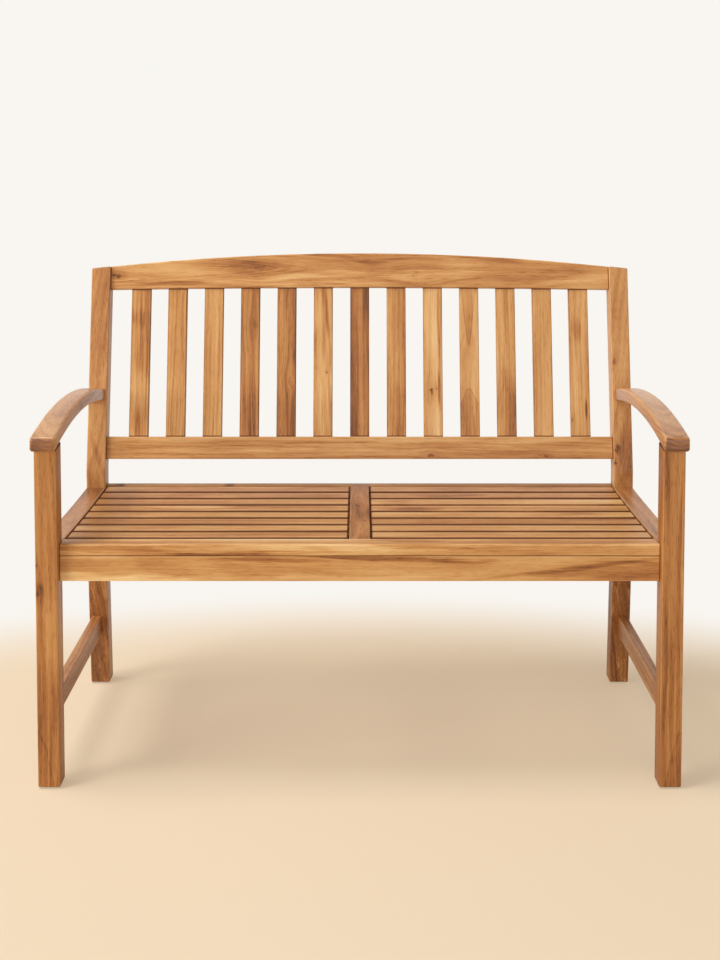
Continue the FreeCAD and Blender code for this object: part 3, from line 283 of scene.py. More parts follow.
def new_material(name: str, **settings: Feed) -> tuple[bpy.types.Material, Wiring, bpy.types.Node]:
    """Starts a material.

    Args:
        name: the material's name.
        settings: plain values of its shader's inputs, by name, with underscores for spaces.

    Returns:
        The material, its wiring and its shader.
    """
    material = bpy.data.materials.new(name)
    material.use_nodes = True
    wiring = Wiring(material.node_tree)
    shader = material.node_tree.nodes["Principled BSDF"]
    wiring.feed_all(shader, **settings)
    return material, wiring, shader


def leaned(angle: float) -> tuple[Point, Point]:
    """Gives the way up a board that leans back by an angle, and the way that its front looks."""
    return (0.0, math.sin(angle), math.cos(angle)), (0.0, -math.cos(angle), math.sin(angle))


class Lay(Enum):
    """How a board lies in the bench: the way its grain runs and the way its broad face looks."""

    CROSS_RAIL = ((1, 0, 0), (0, -1, 0))
    SEAT_SLAT = ((1, 0, 0), (0, 0, 1))
    SIDE_RAIL = ((0, 1, 0), (1, 0, 0))
    ARM = ((0, 1, 0), (0, 0, -1))
    LEG = ((0, 0, 1), (0, -1, 0))
    POST = leaned(POST_LEAN)
    BACK_SLAT = leaned(BACK_LEAN)
    BACK_RAIL = ((1, 0, 0), leaned(BACK_LEAN)[1])

    @property
    def axes(self) -> Matrix:
        """The board's own axes as columns: across the face, into its depth, and along the grain."""
        along, deep = (Vector(axis) for axis in self.value)
        return Matrix((deep.cross(along), deep, along)).transposed()


class Sawing(Enum):
    """Where the log's heart lay from the middle of the board, across its face and in its depth, in metres."""

    QUARTER = (0.115, 0.012)
    RIFT = (0.062, -0.058)
    FLAT = (0.008, -0.062)


QUARTER, RIFT, FLAT = Sawing


@dataclass(frozen=True)
class Knot:
    """A knot that goes through a board, or an eye in its figure.

    Args:
        at: its place in the bench, in millimetres.
        radius: its radius in millimetres.
        darkness: 1 for a dark knot, near 0 for an eye that only bends the rings.
        sideways: whether it goes through from side to side, not from face to back.
    """

    at: Point
    radius: float
    darkness: float = 1.0
    sideways: bool = False


@dataclass(frozen=True)
class Flame:
    """A long soft patch of darker heartwood or paler sapwood in a board; a few are painted shade instead.

    Args:
        at: its middle in the bench, in millimetres.
        reach: half its length along the grain, in millimetres.
        breadth: half its width across the grain, in millimetres.
        shade: how much darker it is; less than 0 is paler.
        slope: how far it moves across the grain, as a share of the way along it.
    """

    at: Point
    reach: float
    breadth: float
    shade: float
    slope: float = 0.0


@dataclass(frozen=True)
class Arch:
    """A pointed arch in the figure, darker inside, where the saw cut across the log's rings.

    Args:
        at: its tip in the bench, in millimetres.
        run: how far its sides have run along the grain where they are 1 cm from its middle, in millimetres.
        shade: how much darker it is inside.
        edge: how much darker its outline is.
        way: 1 if its tip points to the board's far end, or -1.
    """

    at: Point
    run: float
    shade: float
    edge: float
    way: float = 1.0


@dataclass(frozen=True)
class Board:
    """What one board's wood is like.

    Args:
        tone: its mean tone, from 0 for the palest straw to 1 for the darkest umber.
        sawing: how it was cut from the log.
        seed: which stretch of the log it came from.
        contrast: how far its streaks part from its mean tone.
        taper: how fast the rings run out of the face along the board, which makes pointed arches.
        wander: how far the rings wave, in metres.
        knots: its knots.
        flames: its darker and paler patches.
        arches: its pointed arches.
        oil: how much of a glossier coat the oil leaves on it.
    """

    tone: float
    sawing: Sawing = RIFT
    seed: float = 0.0
    contrast: float = 0.60
    taper: float = 0.012
    wander: float = 0.014
    knots: tuple[Knot, ...] = ()
    flames: tuple[Flame, ...] = ()
    arches: tuple[Arch, ...] = ()
    oil: float = 0.06


@dataclass(frozen=True)
class Joints:
    """How a board meets its neighbours.

    Args:
        low: the length of its tenon at its low end, 0 where it butts, or None where that end shows.
        high: the same at its high end.
        gap_shade: how much painted shade its narrow sides get, standing in for the shade that falls in a gap.
        seam: whether its lower edge meets another board, where a painted shadow line runs along it.
    """

    low: Union[float, None] = None
    high: Union[float, None] = None
    gap_shade: float = 0.0
    seam: bool = False


@dataclass(frozen=True)
class OiledHardwood:
    """The oiled, satin finish that all the bench's boards share.

    Args:
        straw: the palest wood.
        honey: light wood.
        amber: wood of middle tone.
        chestnut: dark wood.
        umber: the darkest streaks and knots.
        gloss: the roughness of a smooth face.
        tone_gloss: how much rougher the darkest wood is than the palest.
        shine: how strongly a face mirrors, 0.5 for bare varnish.
        oil_gloss: the roughness of the oil's own coat.
        relief: how deep the open pores and harder rings stand, in metres.
        ring_turn: how fast the yearly rings follow each other outwards, in radians to the metre.
        arch_line: half the breadth of a pointed arch's outline, in metres.
        arch_power: the power of the distance from its middle by which an arch's sides run off.
        arch_unit: how many of the units that this distance is taken in make a metre.
    """

    straw: Point = (0.890, 0.618, 0.310)
    honey: Point = (0.755, 0.436, 0.170)
    amber: Point = (0.600, 0.288, 0.090)
    chestnut: Point = (0.415, 0.158, 0.040)
    umber: Point = (0.160, 0.052, 0.014)
    gloss: float = 0.44
    tone_gloss: float = 0.12
    shine: float = 0.32
    oil_gloss: float = 0.34
    relief: float = 0.0003
    ring_turn: float = 820.0
    arch_line: float = 0.0011
    arch_power: float = 1.5
    arch_unit: float = 100.0

    def figure(self) -> bpy.types.NodeTree:
        """Makes the group that reads the log's rings at a place in a board.

        Returns:
            The node group: its Field is the tone of the rings and its Pore the open pores.
        """
        wiring = Group("ring_figure", ("Place", "HeartAcross", "HeartDeep", "Taper", "Wander", "Seed"),
                       ("Field", "Pore"))
        place, heart_across, heart_deep, taper, wander, number = wiring.read
        seed = wiring.join(number, wiring.times(number, 1.7), 3.1)
        across, deep, along = wiring.split(place)
        drift = wiring.times(along, taper)
        away = []
        for distance, heart, elsewhere in ((across, heart_across, (0.0, 0.0, 0.0)),
                                           (deep, heart_deep, (7.3, 2.9, 5.1))):
            wave = wiring.noise(place, (6.0, 6.0, 2.6), wiring.vector("ADD", seed, elsewhere), 1.5)
            straight = wiring.number("ADD", wiring.minus(distance, heart), drift)
            away.append((1.0, wiring.weighed(straight, (wander, wiring.minus(wave, 0.5)))))
        out = wiring.length(*away)
        fibre = wiring.weighed(0.0, (3.0, across), (3.0, deep))
        ringed = wiring.join(out, fibre, along)
        unsteady = wiring.noise(place, (30.0, 30.0, 4.0), seed, 1.0)
        turns = wiring.weighed(0.0, (self.ring_turn, out), (11.0, unsteady))
        rings = wiring.number("POWER", wiring.weighed(0.5, (0.5, wiring.number("SINE", turns))), 2.4)
        bands = wiring.rise(wiring.noise(ringed, (58.0, 1.0, 1.3), seed, 4.0, 0.62), 0.33, 0.67)
        threads = wiring.rise(wiring.noise(ringed, (190.0, 0.0, 2.6), seed, 2.0, 0.55), 0.55, 0.72)
        patches = wiring.rise(wiring.noise(place, (17.0, 17.0, 3.4), seed), 0.32, 0.68)
        clouds = wiring.noise(place, (26.0, 26.0, 11.0), seed)
        lines = wiring.noise(place, (460.0, 460.0, 9.0), seed, 1.0)
        pores = wiring.rise(wiring.noise(place, (640.0, 640.0, 46.0), seed, 1.0), 0.55, 0.68)
        field = wiring.weighed(-0.98, (0.50, bands), (0.22, rings), (0.30, patches), (0.46, threads),
                               (0.32, clouds), (0.50, lines))
        return wiring.fill(Field=field, Pore=pores)

    def knot(self) -> bpy.types.NodeTree:
        """Makes the group that bends the grain round a knot and darkens the knot itself.

        Returns:
            The node group: its Place is the bent place, and its Shade is how much darker the knot is there.
        """
        wiring = Group("knot", ("Place", "Across", "Along", "Radius"), ("Place", "Shade"))
        place, knot_across, knot_along, radius = wiring.read
        across, deep, along = wiring.split(place)
        offset = wiring.minus(across, knot_across)
        aside = wiring.number("DIVIDE", offset, radius)
        up = wiring.number("DIVIDE", wiring.minus(along, knot_along), radius)
        pull = wiring.hill((0.11, aside), (0.022, up))
        push = wiring.times(wiring.times(pull, -0.8), offset)
        bent = wiring.join(wiring.number("ADD", across, push), deep, along)
        nearby = wiring.join(aside, up, wiring.times(knot_across, 300.0))
        ragged = wiring.noise(nearby, (0.9, 0.6, 1.0))
        broken = wiring.noise(nearby, (0.8, 0.8, 1.0), (4.1, 8.3, 2.7), 1.0)
        away = wiring.weighed(wiring.minus(wiring.length((1.0, aside), (0.5, up)), 1.2), (2.4, ragged))
        heart = wiring.minus(1.0, wiring.rise(away, 0.0, 1.10))
        from_rim = wiring.times(wiring.minus(away, 0.85), 3.6)
        rim = wiring.times(wiring.hill((1.0, from_rim)), wiring.rise(broken, 0.34, 0.58))
        from_crack = wiring.weighed(aside, (2.2, wiring.minus(ragged, 0.5)))
        crack = wiring.hill((9.0, from_crack), (0.22, up))
        shade = wiring.weighed(0.0, (0.24, heart), (0.36, rim), (0.26, crack), (0.10, pull))
        return wiring.fill(Place=bent, Shade=shade)

    def flame(self) -> bpy.types.NodeTree:
        """Makes the group that says how far a place lies inside a long soft patch.

        Returns:
            The node group: its Share is 1 at the patch's heart and 0 outside it.
        """
        wiring = Group("flame", ("Place", "Across", "Along", "Breadth", "Reach", "Slope"), ("Share",))
        place, flame_across, flame_along, breadth, reach, slope = wiring.read
        across, _, along = wiring.split(place)
        waver = wiring.minus(wiring.noise(place, (60.0, 60.0, 9.0)), 0.5)
        streak = wiring.minus(wiring.noise(place, (330.0, 330.0, 7.0), detail=1.0), 0.5)
        further = wiring.minus(along, flame_along)
        middle = wiring.weighed(flame_across, (slope, further))
        aside = wiring.number("DIVIDE", wiring.minus(across, middle), breadth)
        aside = wiring.weighed(aside, (2.4, waver), (1.5, streak))
        up = wiring.weighed(wiring.number("DIVIDE", further, reach), (1.2, waver), (1.1, streak))
        return wiring.fill(Share=wiring.rise(wiring.hill((1.0, aside), (1.0, up)), 0.08, 0.78))

    def arch(self) -> bpy.types.NodeTree:
        """Makes the group that draws a pointed arch.

        Returns:
            The node group: its Inside is 1 within the arch, and its Edge is 1 on the outline.
        """
        wiring = Group("arch", ("Place", "Across", "Along", "Run", "Way"), ("Inside", "Edge"))
        place, arch_across, arch_along, run, way = wiring.read
        across, _, along = wiring.split(place)
        waver = wiring.minus(wiring.noise(place, (90.0, 90.0, 16.0)), 0.5)
        aside = wiring.times(wiring.number("ABSOLUTE", wiring.minus(across, arch_across)), self.arch_unit)
        sides = wiring.times(wiring.number("POWER", aside, self.arch_power), run)
        below = wiring.minus(wiring.times(wiring.minus(arch_along, along), way), sides)
        below = wiring.weighed(below, (0.022, waver))
        steep = wiring.times(wiring.number("SQRT", aside), run)
        slanted = self.arch_line * self.arch_power * self.arch_unit
        outline = wiring.number("DIVIDE", below, wiring.weighed(self.arch_line, (slanted, steep)))
        return wiring.fill(Inside=wiring.rise(outline, -0.8, 1.2), Edge=wiring.hill((1.0, outline)))

    def surface(self) -> bpy.types.NodeTree:
        """Makes the group that turns tone and pores into colour, gloss and relief.

        Returns:
            The node group.
        """
        wiring = Group("oiled_surface", ("Tone", "Pore", "End", "Wear"), ("Colour", "Roughness", "Normal"))
        tone, pore, end, wear = wiring.read
        palette = wiring.add("ShaderNodeValToRGB")
        shade = wiring.weighed(tone, (0.12, pore), (0.30, end), (-0.10, wear))
        colour = wiring.feed_all(palette, Fac=shade)["Color"]
        stops = palette.color_ramp.elements
        places = (0.0, 0.25, 0.50, 0.74, 1.0)
        woods = (self.straw, self.honey, self.amber, self.chestnut, self.umber)
        while len(stops) < len(places):
            stops.new(0.5)
        for stop, place, wood in zip(stops, places, woods):
            stop.position = place
            stop.color = (*wood, 1.0)
        roughness = wiring.weighed(self.gloss - self.tone_gloss / 2, (self.tone_gloss, tone), (0.16, pore),
                                   (0.14, end), (-0.08, wear))
        height = wiring.weighed(1.0, (-0.7, pore), (-0.5, tone))
        return wiring.fill(Colour=colour, Roughness=roughness, Normal=wiring.bump(height, 0.35, self.relief))


@dataclass(frozen=True)
class Extent:
    """Where a packed board lies along its own axes.

    Args:
        axes: its axes as columns.
        middle: its middle in the bench, in metres.
        half: half its size across, in depth and along the grain, in metres.
    """

    axes: Matrix
    middle: Vector
    half: Vector

    @classmethod
    def of(cls, node: str, axes: Matrix) -> "Extent":
        """Measures a packed board.

        Args:
            node: the board's name.
            axes: its axes as columns.

        Returns:
            Its extent.
        """
        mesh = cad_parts[node].data
        places = np.zeros(len(mesh.vertices) * 3, np.float32)
        mesh.vertices.foreach_get("co", places)
        own = places.reshape(-1, 3) @ np.array(axes)
        low, high = Vector(own.min(0).tolist()), Vector(own.max(0).tolist())
        return cls(axes, axes @ ((low + high) / 2), (high - low) / 2)

    def own(self, at: Point) -> Vector:
        """Gives a mark's place along the board's axes, in metres from the board's middle."""
        return self.axes.transposed() @ (Vector(at) * MM - self.middle)


def put_on(node: str, material: bpy.types.Material) -> None:
    """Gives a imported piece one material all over.

    Args:
        node: the piece's name.
        material: its material.
    """
    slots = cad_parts[node].data.materials
    slots.clear()
    slots.append(material)
    LOG.info("%s: %s", node, material.name)


class Joinery:
    """Dresses boards in the bench's hardwood.

    A painted shadow line runs along each joint, where shade falls between the boards. It starts joint_line
    metres before the joint, and is full at end_edge or, where boards meet edge to edge, at seam_edge. The pairs
    are cosines of how squarely a surface looks along or across the board. From the first it starts to count as
    an end, a side with painted gap shade, a rounded edge or a flat side, and from the second it wholly does.
    """

    joint_line = 0.0022
    end_edge = 0.0003
    seam_edge = 0.0006
    joint_shadow_darkness = 0.95
    end_facing = (0.45, 0.95)
    gap_shade_facing = (0.10, 0.55)
    edge_facing = (0.12, 0.35)
    side_facing = (0.90, 0.995)

    def __init__(self, finish: OiledHardwood) -> None:
        """Makes the finish's node groups once for all boards.

        Args:
            finish: the finish that the boards share.
        """
        self.finish = finish
        self.figure = finish.figure()
        self.knot = finish.knot()
        self.flame = finish.flame()
        self.arch = finish.arch()
        self.surface = finish.surface()

    def dress(self, node: str, lay: Lay, board: Board, joints: Joints = Joints()) -> None:
        """Gives a packed board its own wood.

        Args:
            node: the board's name.
            lay: how it lies in the bench.
            board: what its wood is like.
            joints: how it meets its neighbours.
        """
        axes = lay.axes
        extent = Extent.of(node, axes)
        material, wiring, shader = new_material(
            f"hardwood_{node}", Specular_IOR_Level=self.finish.shine, Coat_Weight=board.oil,
            Coat_Roughness=self.finish.oil_gloss)
        mapping = wiring.add("ShaderNodeMapping", vector_type="TEXTURE")
        own_place = wiring.feed_all(mapping, Vector=wiring.bench_place(), Location=extent.middle,
                                    Rotation=axes.to_euler())["Vector"]
        place, darker = self.set_knots(wiring, own_place, extent, board)
        for flame in board.flames:
            at = extent.own(flame.at)
            found = wiring.group(self.flame, Place=own_place, Across=at.x, Along=at.z,
                                 Breadth=flame.breadth * MM, Reach=flame.reach * MM, Slope=flame.slope)
            darker.append((flame.shade, found["Share"]))
        for arch in board.arches:
            at = extent.own(arch.at)
            found = wiring.group(self.arch, Place=own_place, Across=at.x, Along=at.z,
                                 Run=arch.run * MM, Way=arch.way)
            darker += [(arch.shade, found["Inside"]), (arch.edge, found["Edge"])]
        heart_across, heart_deep = board.sawing.value
        rings = wiring.group(self.figure, Place=place, HeartAcross=heart_across, HeartDeep=heart_deep,
                             Taper=board.taper, Wander=board.wander, Seed=board.seed)
        darker.append((board.contrast, rings["Field"]))
        # Painted shadow lines where the board meets its neighbours.
        darker += self.painted_joint_shadows(wiring, own_place, extent, joints)
        end, side = wiring.facing(axes.col[2]), wiring.facing(axes.col[0])
        wear = 0.0
        # Painted shade on the narrow sides, where shade falls in the gaps; boards without it get lighter worn
        # edges instead.
        if joints.gap_shade:
            darker.append((joints.gap_shade, wiring.rise(side, *self.gap_shade_facing)))
        else:
            wear = wiring.minus(wiring.rise(side, *self.edge_facing), wiring.rise(side, *self.side_facing))
        tone = wiring.weighed(board.tone, *darker)
        skin = wiring.group(self.surface, Tone=tone, Pore=rings["Pore"],
                            End=wiring.rise(end, *self.end_facing), Wear=wear)
        wiring.feed_all(shader, Base_Color=skin["Colour"], Roughness=skin["Roughness"], Normal=skin["Normal"])
        put_on(node, material)

    def set_knots(self, wiring: Wiring, place: Socket, extent: Extent,
                  board: Board) -> tuple[Socket, list[Part]]:
        """Bends the rings round a board's knots.

        Args:
            wiring: the wiring of the board's material.
            place: the place in the board's own axes.
            extent: the board's extent.
            board: the board, with its knots.

        Returns:
            The bent place, and what each knot adds to the tone.
        """
        darker = []
        for knot in board.knots:
            at = extent.own(knot.at)
            if knot.sideways:
                place, at = wiring.turned(place), Vector((at.y, at.x, at.z))
            found = wiring.group(self.knot, Place=place, Across=at.x, Along=at.z, Radius=knot.radius * MM)
            place = found["Place"]
            if knot.sideways:
                place = wiring.turned(place)
            darker.append((knot.darkness, found["Shade"]))
        return place, darker

    def painted_joint_shadows(self, wiring: Wiring, place: Socket, extent: Extent, joints: Joints) -> list[Part]:
        """Paints shade on the last two millimetres of a board before it meets its neighbour, for the shadow
        line in the joint.

        Args:
            wiring: the wiring of the board's material.
            place: the place in the board's own axes.
            extent: the board's extent.
            joints: how the board meets its neighbours.

        Returns:
            What the painted shadow adds to the tone at each hidden end and along the seam.
        """
        across, _, along = wiring.split(place)
        edges = [(along, way, extent.half.z - tenon, self.end_edge)
                 for way, tenon in ((-1.0, joints.low), (1.0, joints.high)) if tenon is not None]
        if joints.seam:
            edges.insert(0, (across, -1.0, extent.half.x, self.seam_edge))
        return [(self.joint_shadow_darkness, wiring.rise(wiring.times(distance, way), end - self.joint_line, end - full))
                for distance, way, end, full in edges]


@dataclass(frozen=True)
class PlainFinish:
    """A finish of one stuff: metal, plain dowel wood or moulded plastic.

    Args:
        name: the material's name.
        colour: its main colour.
        worn: its colour where it is rubbed or dusty.
        metallic: 1 for a metal, 0 otherwise.
        roughness: its mean roughness.
        grain: how many patches it has to the metre.
    """

    name: str
    colour: Point
    worn: Point
    metallic: float
    roughness: float
    grain: Point

    def material(self) -> bpy.types.Material:
        """Makes the material.

        Returns:
            The material, with fine patches in its colour, roughness and relief.
        """
        material, wiring, shader = new_material(self.name, Metallic=self.metallic)
        noise = wiring.noise(wiring.bench_place(), self.grain, detail=4.0, roughness=0.6)
        patches = wiring.rise(noise, 0.3, 0.7)
        wiring.feed_all(shader, Base_Color=wiring.blend(patches, self.colour, self.worn),
                        Roughness=wiring.weighed(self.roughness - 0.1, (0.2, patches)),
                        Normal=wiring.bump(patches, 0.3, 0.0002))
        return material


ZINC = PlainFinish("zinc_plated_steel", (0.46, 0.46, 0.45), (0.34, 0.33, 0.31), 1.0, 0.40, (900.0,) * 3)
DOWEL_WOOD = PlainFinish(
    "plain_dowel_wood", (0.62, 0.45, 0.28), (0.52, 0.35, 0.20), 0.0, 0.6, (500.0, 60.0, 500.0))
GLIDE_PLASTIC = PlainFinish("glide_plastic", (0.72, 0.68, 0.60), (0.60, 0.55, 0.46), 0.0, 0.5, (700.0,) * 3)


@dataclass(frozen=True)
class SideFrames:
    """The two side frames: front leg, rear post, arm, seat side rail and stretcher on each side.

    Args:
        tenon: the length of the side rails' and stretchers' tenons, in metres.
        leg_tenon: the length of the tenon on top of a front leg, in metres.
        legs: the front legs; of each pair, the left board comes first.
    """

    tenon: float = 0.024
    leg_tenon: float = 0.016
    legs: tuple[Board, Board] = (
        Board(0.69, RIFT, 3.0, 0.36, 0.006, 0.012,
              knots=(Knot((-589, -291, 367), 3, 0.85), Knot((-591, -291, 420), 1.8),
                     Knot((-586, -291, 378), 1.6)),
              flames=(Flame((-567, -291, 430), 90, 6, 0.10), Flame((-575, -291, 120), 160, 30, 0.12),
                      Flame((-573, -291, 290), 90, 30, -0.10)),
              arches=(Arch((-592, -291, 110), 23, 0.04, 0.09),)),
        Board(0.76, RIFT, 11.0, 0.38, 0.004, 0.012,
              flames=(Flame((561, -291, 578), 90, 4, 0.20), Flame((573, -291, 168), 120, 5, 0.12),
                      Flame((590, -291, 500), 220, 3, -0.12)),
              arches=(Arch((592, -291, 110), 22, 0.08, 0.10),)),
    )
    posts: tuple[Board, Board] = (
        Board(0.58, RIFT, 21.0, 0.40, 0.020, 0.018, oil=0.30,
              flames=(Flame((-571, 179, 516), 55, 6, 0.16, 0.35), Flame((-580, 245, 820), 170, 30, 0.20),
                      # The flame 150 mm up is painted shade on the foot, where the seat shades it.
                      Flame((-575, 190, 600), 90, 30, -0.10), Flame((-573, 200, 150), 220, 40, 0.24))),
        Board(0.53, RIFT, 25.0, 0.40, 0.015, 0.018, oil=0.20,
              knots=(Knot((561, 181, 529), 5.5), Knot((558, 175, 499), 2.2), Knot((559, 218, 714), 4, 0.7)),
              # The flame 150 mm up is painted shade on the foot, where the seat shades it.
              flames=(Flame((580, 180, 520), 80, 14, 0.18), Flame((573, 200, 150), 240, 40, 0.40))),
    )
    arms: tuple[Board, Board] = (
        Board(0.67, FLAT, 31.0, 0.46, 0.020, oil=0.80,
              knots=(Knot((-555, -53, 666), 4.5, 0.9, True),),
              flames=(Flame((-577, -200, 665), 60, 40, 0.05),)),
        Board(0.68, FLAT, 37.0, 0.42, -0.020, oil=0.80),
    )
    side_rails: tuple[Board, Board] = (
        Board(0.72, QUARTER, 41.0, 0.46, oil=0.50, flames=(Flame((-566, 138, 447), 70, 26, 0.16),)),
        Board(0.72, QUARTER, 43.0, 0.46, oil=0.45, flames=(Flame((566, 138, 447), 60, 26, 0.08),)),
    )
    stretchers: tuple[Board, Board] = (
        Board(0.74, RIFT, 47.0, 0.42, oil=0.30),
        Board(0.74, RIFT, 53.0, 0.42, oil=0.30),
    )

    def dress(self, joinery: Joinery) -> None:
        """Dresses the boards of both side frames.

        Args:
            joinery: what dresses a board.
        """
        for index, side in enumerate(SIDES):
            joinery.dress(f"front_leg_{side}", Lay.LEG, self.legs[index], Joints(None, self.leg_tenon))
            joinery.dress(f"rear_post_{side}", Lay.POST, self.posts[index])
            joinery.dress(f"arm_{side}", Lay.ARM, self.arms[index])
            joinery.dress(f"seat_side_rail_{side}", Lay.SIDE_RAIL, self.side_rails[index],
                          Joints(self.tenon, self.tenon))
            joinery.dress(f"side_stretcher_{side}", Lay.SIDE_RAIL, self.stretchers[index], Joints(self.tenon))


@dataclass(frozen=True)
class Back:
    """The back: an arched top rail, a lower rail and the upright slats between them.

    Args:
        slat_tenon: the length of a slat's tenon at each end, in metres.
        slat_gap_shade: how much painted shade a slat's narrow sides get, standing in for the shade on its side
            edges.
        slats: the slats, from left to right.
    """

    slat_tenon: float = 0.012
    slat_gap_shade: float = 0.26
    top_rail: Board = Board(
        0.53, FLAT, 61.0, 0.60, 0.010, 0.020,
        knots=(Knot((-545, 264, 901), 3.4), Knot((-536, 264, 899), 2.8, 0.7), Knot((-222, 268, 918), 7, 0.30),
               Knot((128, 263, 903), 8, 0.30)),
        flames=(Flame((-389, 261, 884), 90, 5, 0.18, 0.05), Flame((-467, 258, 868), 110, 7, -0.12, 0.04),
                Flame((-240, 268, 925), 110, 10, 0.14), Flame((-40, 264, 895), 200, 16, -0.26),
                Flame((266, 264, 915), 200, 7, 0.12, -0.03), Flame((400, 263, 897), 120, 18, 0.12)),
        arches=(Arch((-120, 268, 914), 55, 0.01, 0.12), Arch((-158, 268, 916), 50, 0.02, 0.13),
                Arch((-184, 268, 917), 65, 0.02, 0.14)),
    )
    lower_rail: Board = Board(
        0.49, RIFT, 67.0, 0.48, 0.004, 0.014,
        knots=(Knot((156, 187, 514), 4.2), Knot((405, 186, 512), 3.2, 0.8)),
        flames=(Flame((-459, 191, 533), 90, 4, 0.16), Flame((-88, 190, 531), 140, 10, -0.12),
                Flame((174, 191, 535), 70, 8, 0.14), Flame((440, 190, 535), 120, 8, 0.08)),
    )
    slats: tuple[Board, ...] = (
        Board(0.52, RIFT, 71.0, 0.54,
              flames=(Flame((-482, 249, 806), 20, 18, 0.18), Flame((-494, 206, 587), 30, 10, 0.24),
                      Flame((-482, 216, 655), 45, 14, -0.14))),
        Board(0.59, QUARTER, 72.0, 0.46, flames=(Flame((-392, 244, 781), 70, 5, 0.14),)),
        Board(0.47, QUARTER, 73.0, 0.40, flames=(Flame((-316, 208, 598), 70, 20, -0.09),)),
        Board(0.63, RIFT, 74.0, 0.48,
              knots=(Knot((-232, 246, 792), 5, 0.24),),
              flames=(Flame((-238, 210, 609), 60, 30, 0.06),)),
        Board(0.74, RIFT, 75.0, 0.46,
              knots=(Knot((-153, 222, 671), 6, 0.30),),
              flames=(Flame((-161, 208, 598), 70, 30, 0.14),)),
        Board(0.44, FLAT, 76.0, 0.70, 0.030, 0.018,
              knots=(Knot((-73, 226, 690), 2.2),),
              flames=(Flame((-72, 251, 816), 60, 6, 0.32, 0.10), Flame((-70, 208, 598), 60, 20, 0.14),
                      Flame((-66, 233, 727), 30, 4, 0.26), Flame((-89, 240, 759), 120, 6, -0.20))),
        Board(0.84, RIFT, 77.0, 0.42,
              flames=(Flame((16, 257, 846), 70, 6, 0.22), Flame((5, 210, 610), 80, 30, -0.12))),
        Board(0.56, RIFT, 78.0, 0.50,
              flames=(Flame((75, 244, 781), 80, 4, 0.08), Flame((81, 208, 598), 70, 30, 0.08))),
        Board(0.31, RIFT, 79.0, 0.54,
              knots=(Knot((158, 218, 649), 3.8), Knot((166, 219, 655), 2.2)),
              flames=(Flame((174, 220, 655), 40, 3, 0.45), Flame((175, 248, 799), 70, 3, 0.36),
                      Flame((158, 210, 600), 40, 14, -0.14))),
        Board(0.42, FLAT, 80.0, 0.52, 0.050,
              flames=(Flame((241, 253, 824), 80, 14, 0.16),),
              arches=(Arch((241, 220, 653), 12.5, 0.11, 0.17), Arch((241, 234, 752), 68, 0.12, 0.20, -1.0))),
        Board(0.35, RIFT, 81.0, 0.46, flames=(Flame((325, 209, 602), 80, 22, 0.34),)),
        Board(0.42, QUARTER, 82.0, 0.36),
        Board(0.40, RIFT, 83.0, 0.52,
              knots=(Knot((467, 206, 588), 2.6, 0.7),),
              flames=(Flame((497, 210, 610), 22, 2.5, 0.50), Flame((481, 244, 781), 26, 10, 0.20),
                      Flame((475, 216, 650), 90, 16, -0.14))),
    )

    def dress(self, joinery: Joinery) -> None:
        """Dresses the rails and slats of the back.

        Args:
            joinery: what dresses a board.
        """
        joinery.dress("top_back_rail", Lay.BACK_RAIL, self.top_rail, Joints(0.0, 0.0))
        joinery.dress("lower_back_rail", Lay.BACK_RAIL, self.lower_rail, Joints(0.0, 0.0))
        for number, board in enumerate(self.slats, start=1):
            joinery.dress(f"back_slat_{number:02d}", Lay.BACK_SLAT, board,
                          Joints(self.slat_tenon, self.slat_tenon, self.slat_gap_shade))


